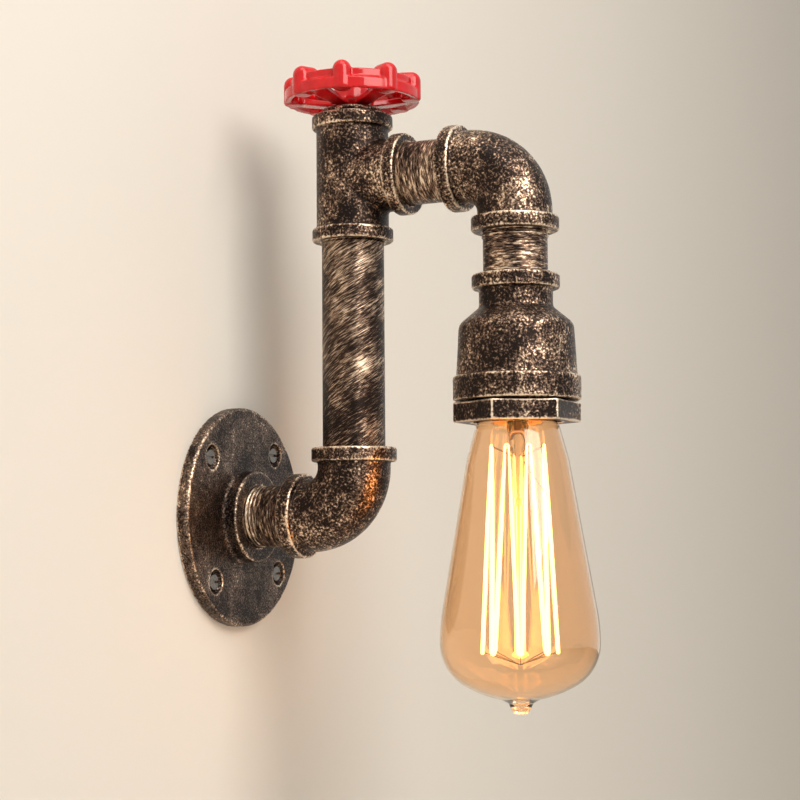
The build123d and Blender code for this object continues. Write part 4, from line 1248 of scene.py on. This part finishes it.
@dataclass
class Studio:
    """Camera at the photograph's place, pale floor and backdrop, soft lamps."""

    camera_place: tuple[float, float, float] = (-711.14, -428.25, -13.97)
    camera_yaw: float = 63.95
    camera_pitch: float = 4.49
    camera_roll: float = -0.44
    lens: float = 84.70
    floor_drop: float = 450.0
    wall_gap: float = 0.2
    opening_r: float = 46.5          # in the wall, all behind the flange, so that its back is lit
    opening_steps: int = 64
    reach: float = 3000.0
    surroundings: str = "#F4F1EC"
    world_light: float = 0.36        # what the surroundings shed
    world_seen: float = 0.85         # what the eye, metal and glass see of them
    softboxes: tuple[Softbox, ...] = (
        Softbox("key_softbox", -38, 34, 1.25, 0.75, 0.9, 13.0, "#FFF8EF"),
        Softbox("fill_softbox", 46, 6, 1.3, 0.45, 1.1, 5.0, "#FFF6EA"),
        Softbox("top_softbox", 10, 72, 1.1, 0.9, 0.6, 5.0, "#FFFAF4"),
    )

    def build(self) -> None:
        """Set up the camera, the stage, the lamps and the world."""
        bpy.context.scene.view_settings.view_transform = "Standard"
        self.place_camera()
        self.build_stage()
        for box in self.softboxes:
            self.hang(box)
        self.light_world()

    def place_camera(self) -> None:
        """Put the camera where the photograph was taken from."""
        data = bpy.data.cameras.new("camera")
        data.lens = self.lens
        camera = new_object("camera", data)
        turn = (Matrix.Rotation(math.radians(-self.camera_yaw), 4, "Z")
                @ Matrix.Rotation(math.radians(90 + self.camera_pitch), 4, "X")
                @ Matrix.Rotation(math.radians(self.camera_roll), 4, "Z"))
        camera.matrix_world = Matrix.Translation(Vector(self.camera_place) * MM) @ turn
        bpy.context.scene.camera = camera

    def build_stage(self) -> None:
        """Lay the pale floor, and a pale wall that shows only from its front."""
        half = self.reach * MM
        floor_z = -self.floor_drop * MM
        wall_y = self.wall_gap * MM
        floor = [(x * half, y * half, floor_z) for x, y in ((-1, -1), (1, -1), (1, 1), (-1, 1))]
        wall: list[tuple[float, float, float]] = []
        steps = self.opening_steps
        for k in range(steps):
            angle = 2 * math.pi * k / steps
            out = Vector((math.cos(angle), math.sin(angle)))
            edge = out * (half / max(abs(out.x), abs(out.y)))
            wall.append((out.x * self.opening_r * MM, wall_y, out.y * self.opening_r * MM))
            wall.append((edge.x, wall_y, max(edge.y, floor_z)))
        ring = [(k, k + 1, (k + 3) % (2 * steps), (k + 2) % (2 * steps)) for k in range(0, 2 * steps, 2)]
        for name, corners, faces, one_sided in (("stage_floor", floor, [(0, 1, 2, 3)], False),
                                                ("stage_wall", wall, ring, True)):
            mesh = bpy.data.meshes.new(name)
            mesh.from_pydata(corners, [], faces)
            mesh.materials.append(StagePaint(name, one_sided).material())
            new_object(name, mesh)

    def hang(self, box: Softbox) -> None:
        """Hang one softbox, facing the middle of the light.

        Args:
            box: The softbox.
        """
        low, high = CAD_BOX
        target = (Vector(low) + Vector(high)) / 2
        data = bpy.data.lights.new(box.name, "AREA")
        data.shape = "RECTANGLE"
        data.size = box.width
        data.size_y = box.height
        data.energy = box.power
        data.color = linear(box.colour)[:3]
        lamp = new_object(box.name, data)
        yaw = math.radians(self.camera_yaw + 180 + box.azimuth)
        lift = math.radians(box.elevation)
        out = Vector((math.sin(yaw) * math.cos(lift), math.cos(yaw) * math.cos(lift), math.sin(lift)))
        lamp.location = target + out * box.distance
        lamp.rotation_euler = (target - lamp.location).to_track_quat("-Z", "Y").to_euler()

    def light_world(self) -> None:
        """Make the surroundings pale, and dimmer as a light than to the eye and in reflections."""
        world = bpy.data.worlds.new("world")
        bpy.context.scene.world = world
        world.use_nodes = True
        tree = world.node_tree
        tree.nodes.clear()
        seen = add_node(tree, "LightPath", {}, give="Is Camera Ray")
        rays = seen.node.outputs
        for ray in ("Is Transmission Ray", "Is Glossy Ray"):
            seen = add_node(tree, "Math", {"operation": "MAXIMUM"}, {0: seen, 1: rays[ray]})
        strength = add_node(tree, "MapRange", {"To Min": self.world_light, "To Max": self.world_seen},
                            {"Value": seen})
        back = add_node(tree, "Background", {"Color": self.surroundings}, {"Strength": strength})
        add_node(tree, "OutputWorld", {}, {"Surface": back})


def main() -> None:
    logging.basicConfig(level=logging.INFO, format="%(name)s %(message)s")
    for assembly in (Studio(), WallFlange(), Pipework(), ValveWheel(), BellCup(), FilamentBulb()):
        assembly.build()
        LOG.info("%s done", type(assembly).__name__)


if __name__ == "__main__":
    main()
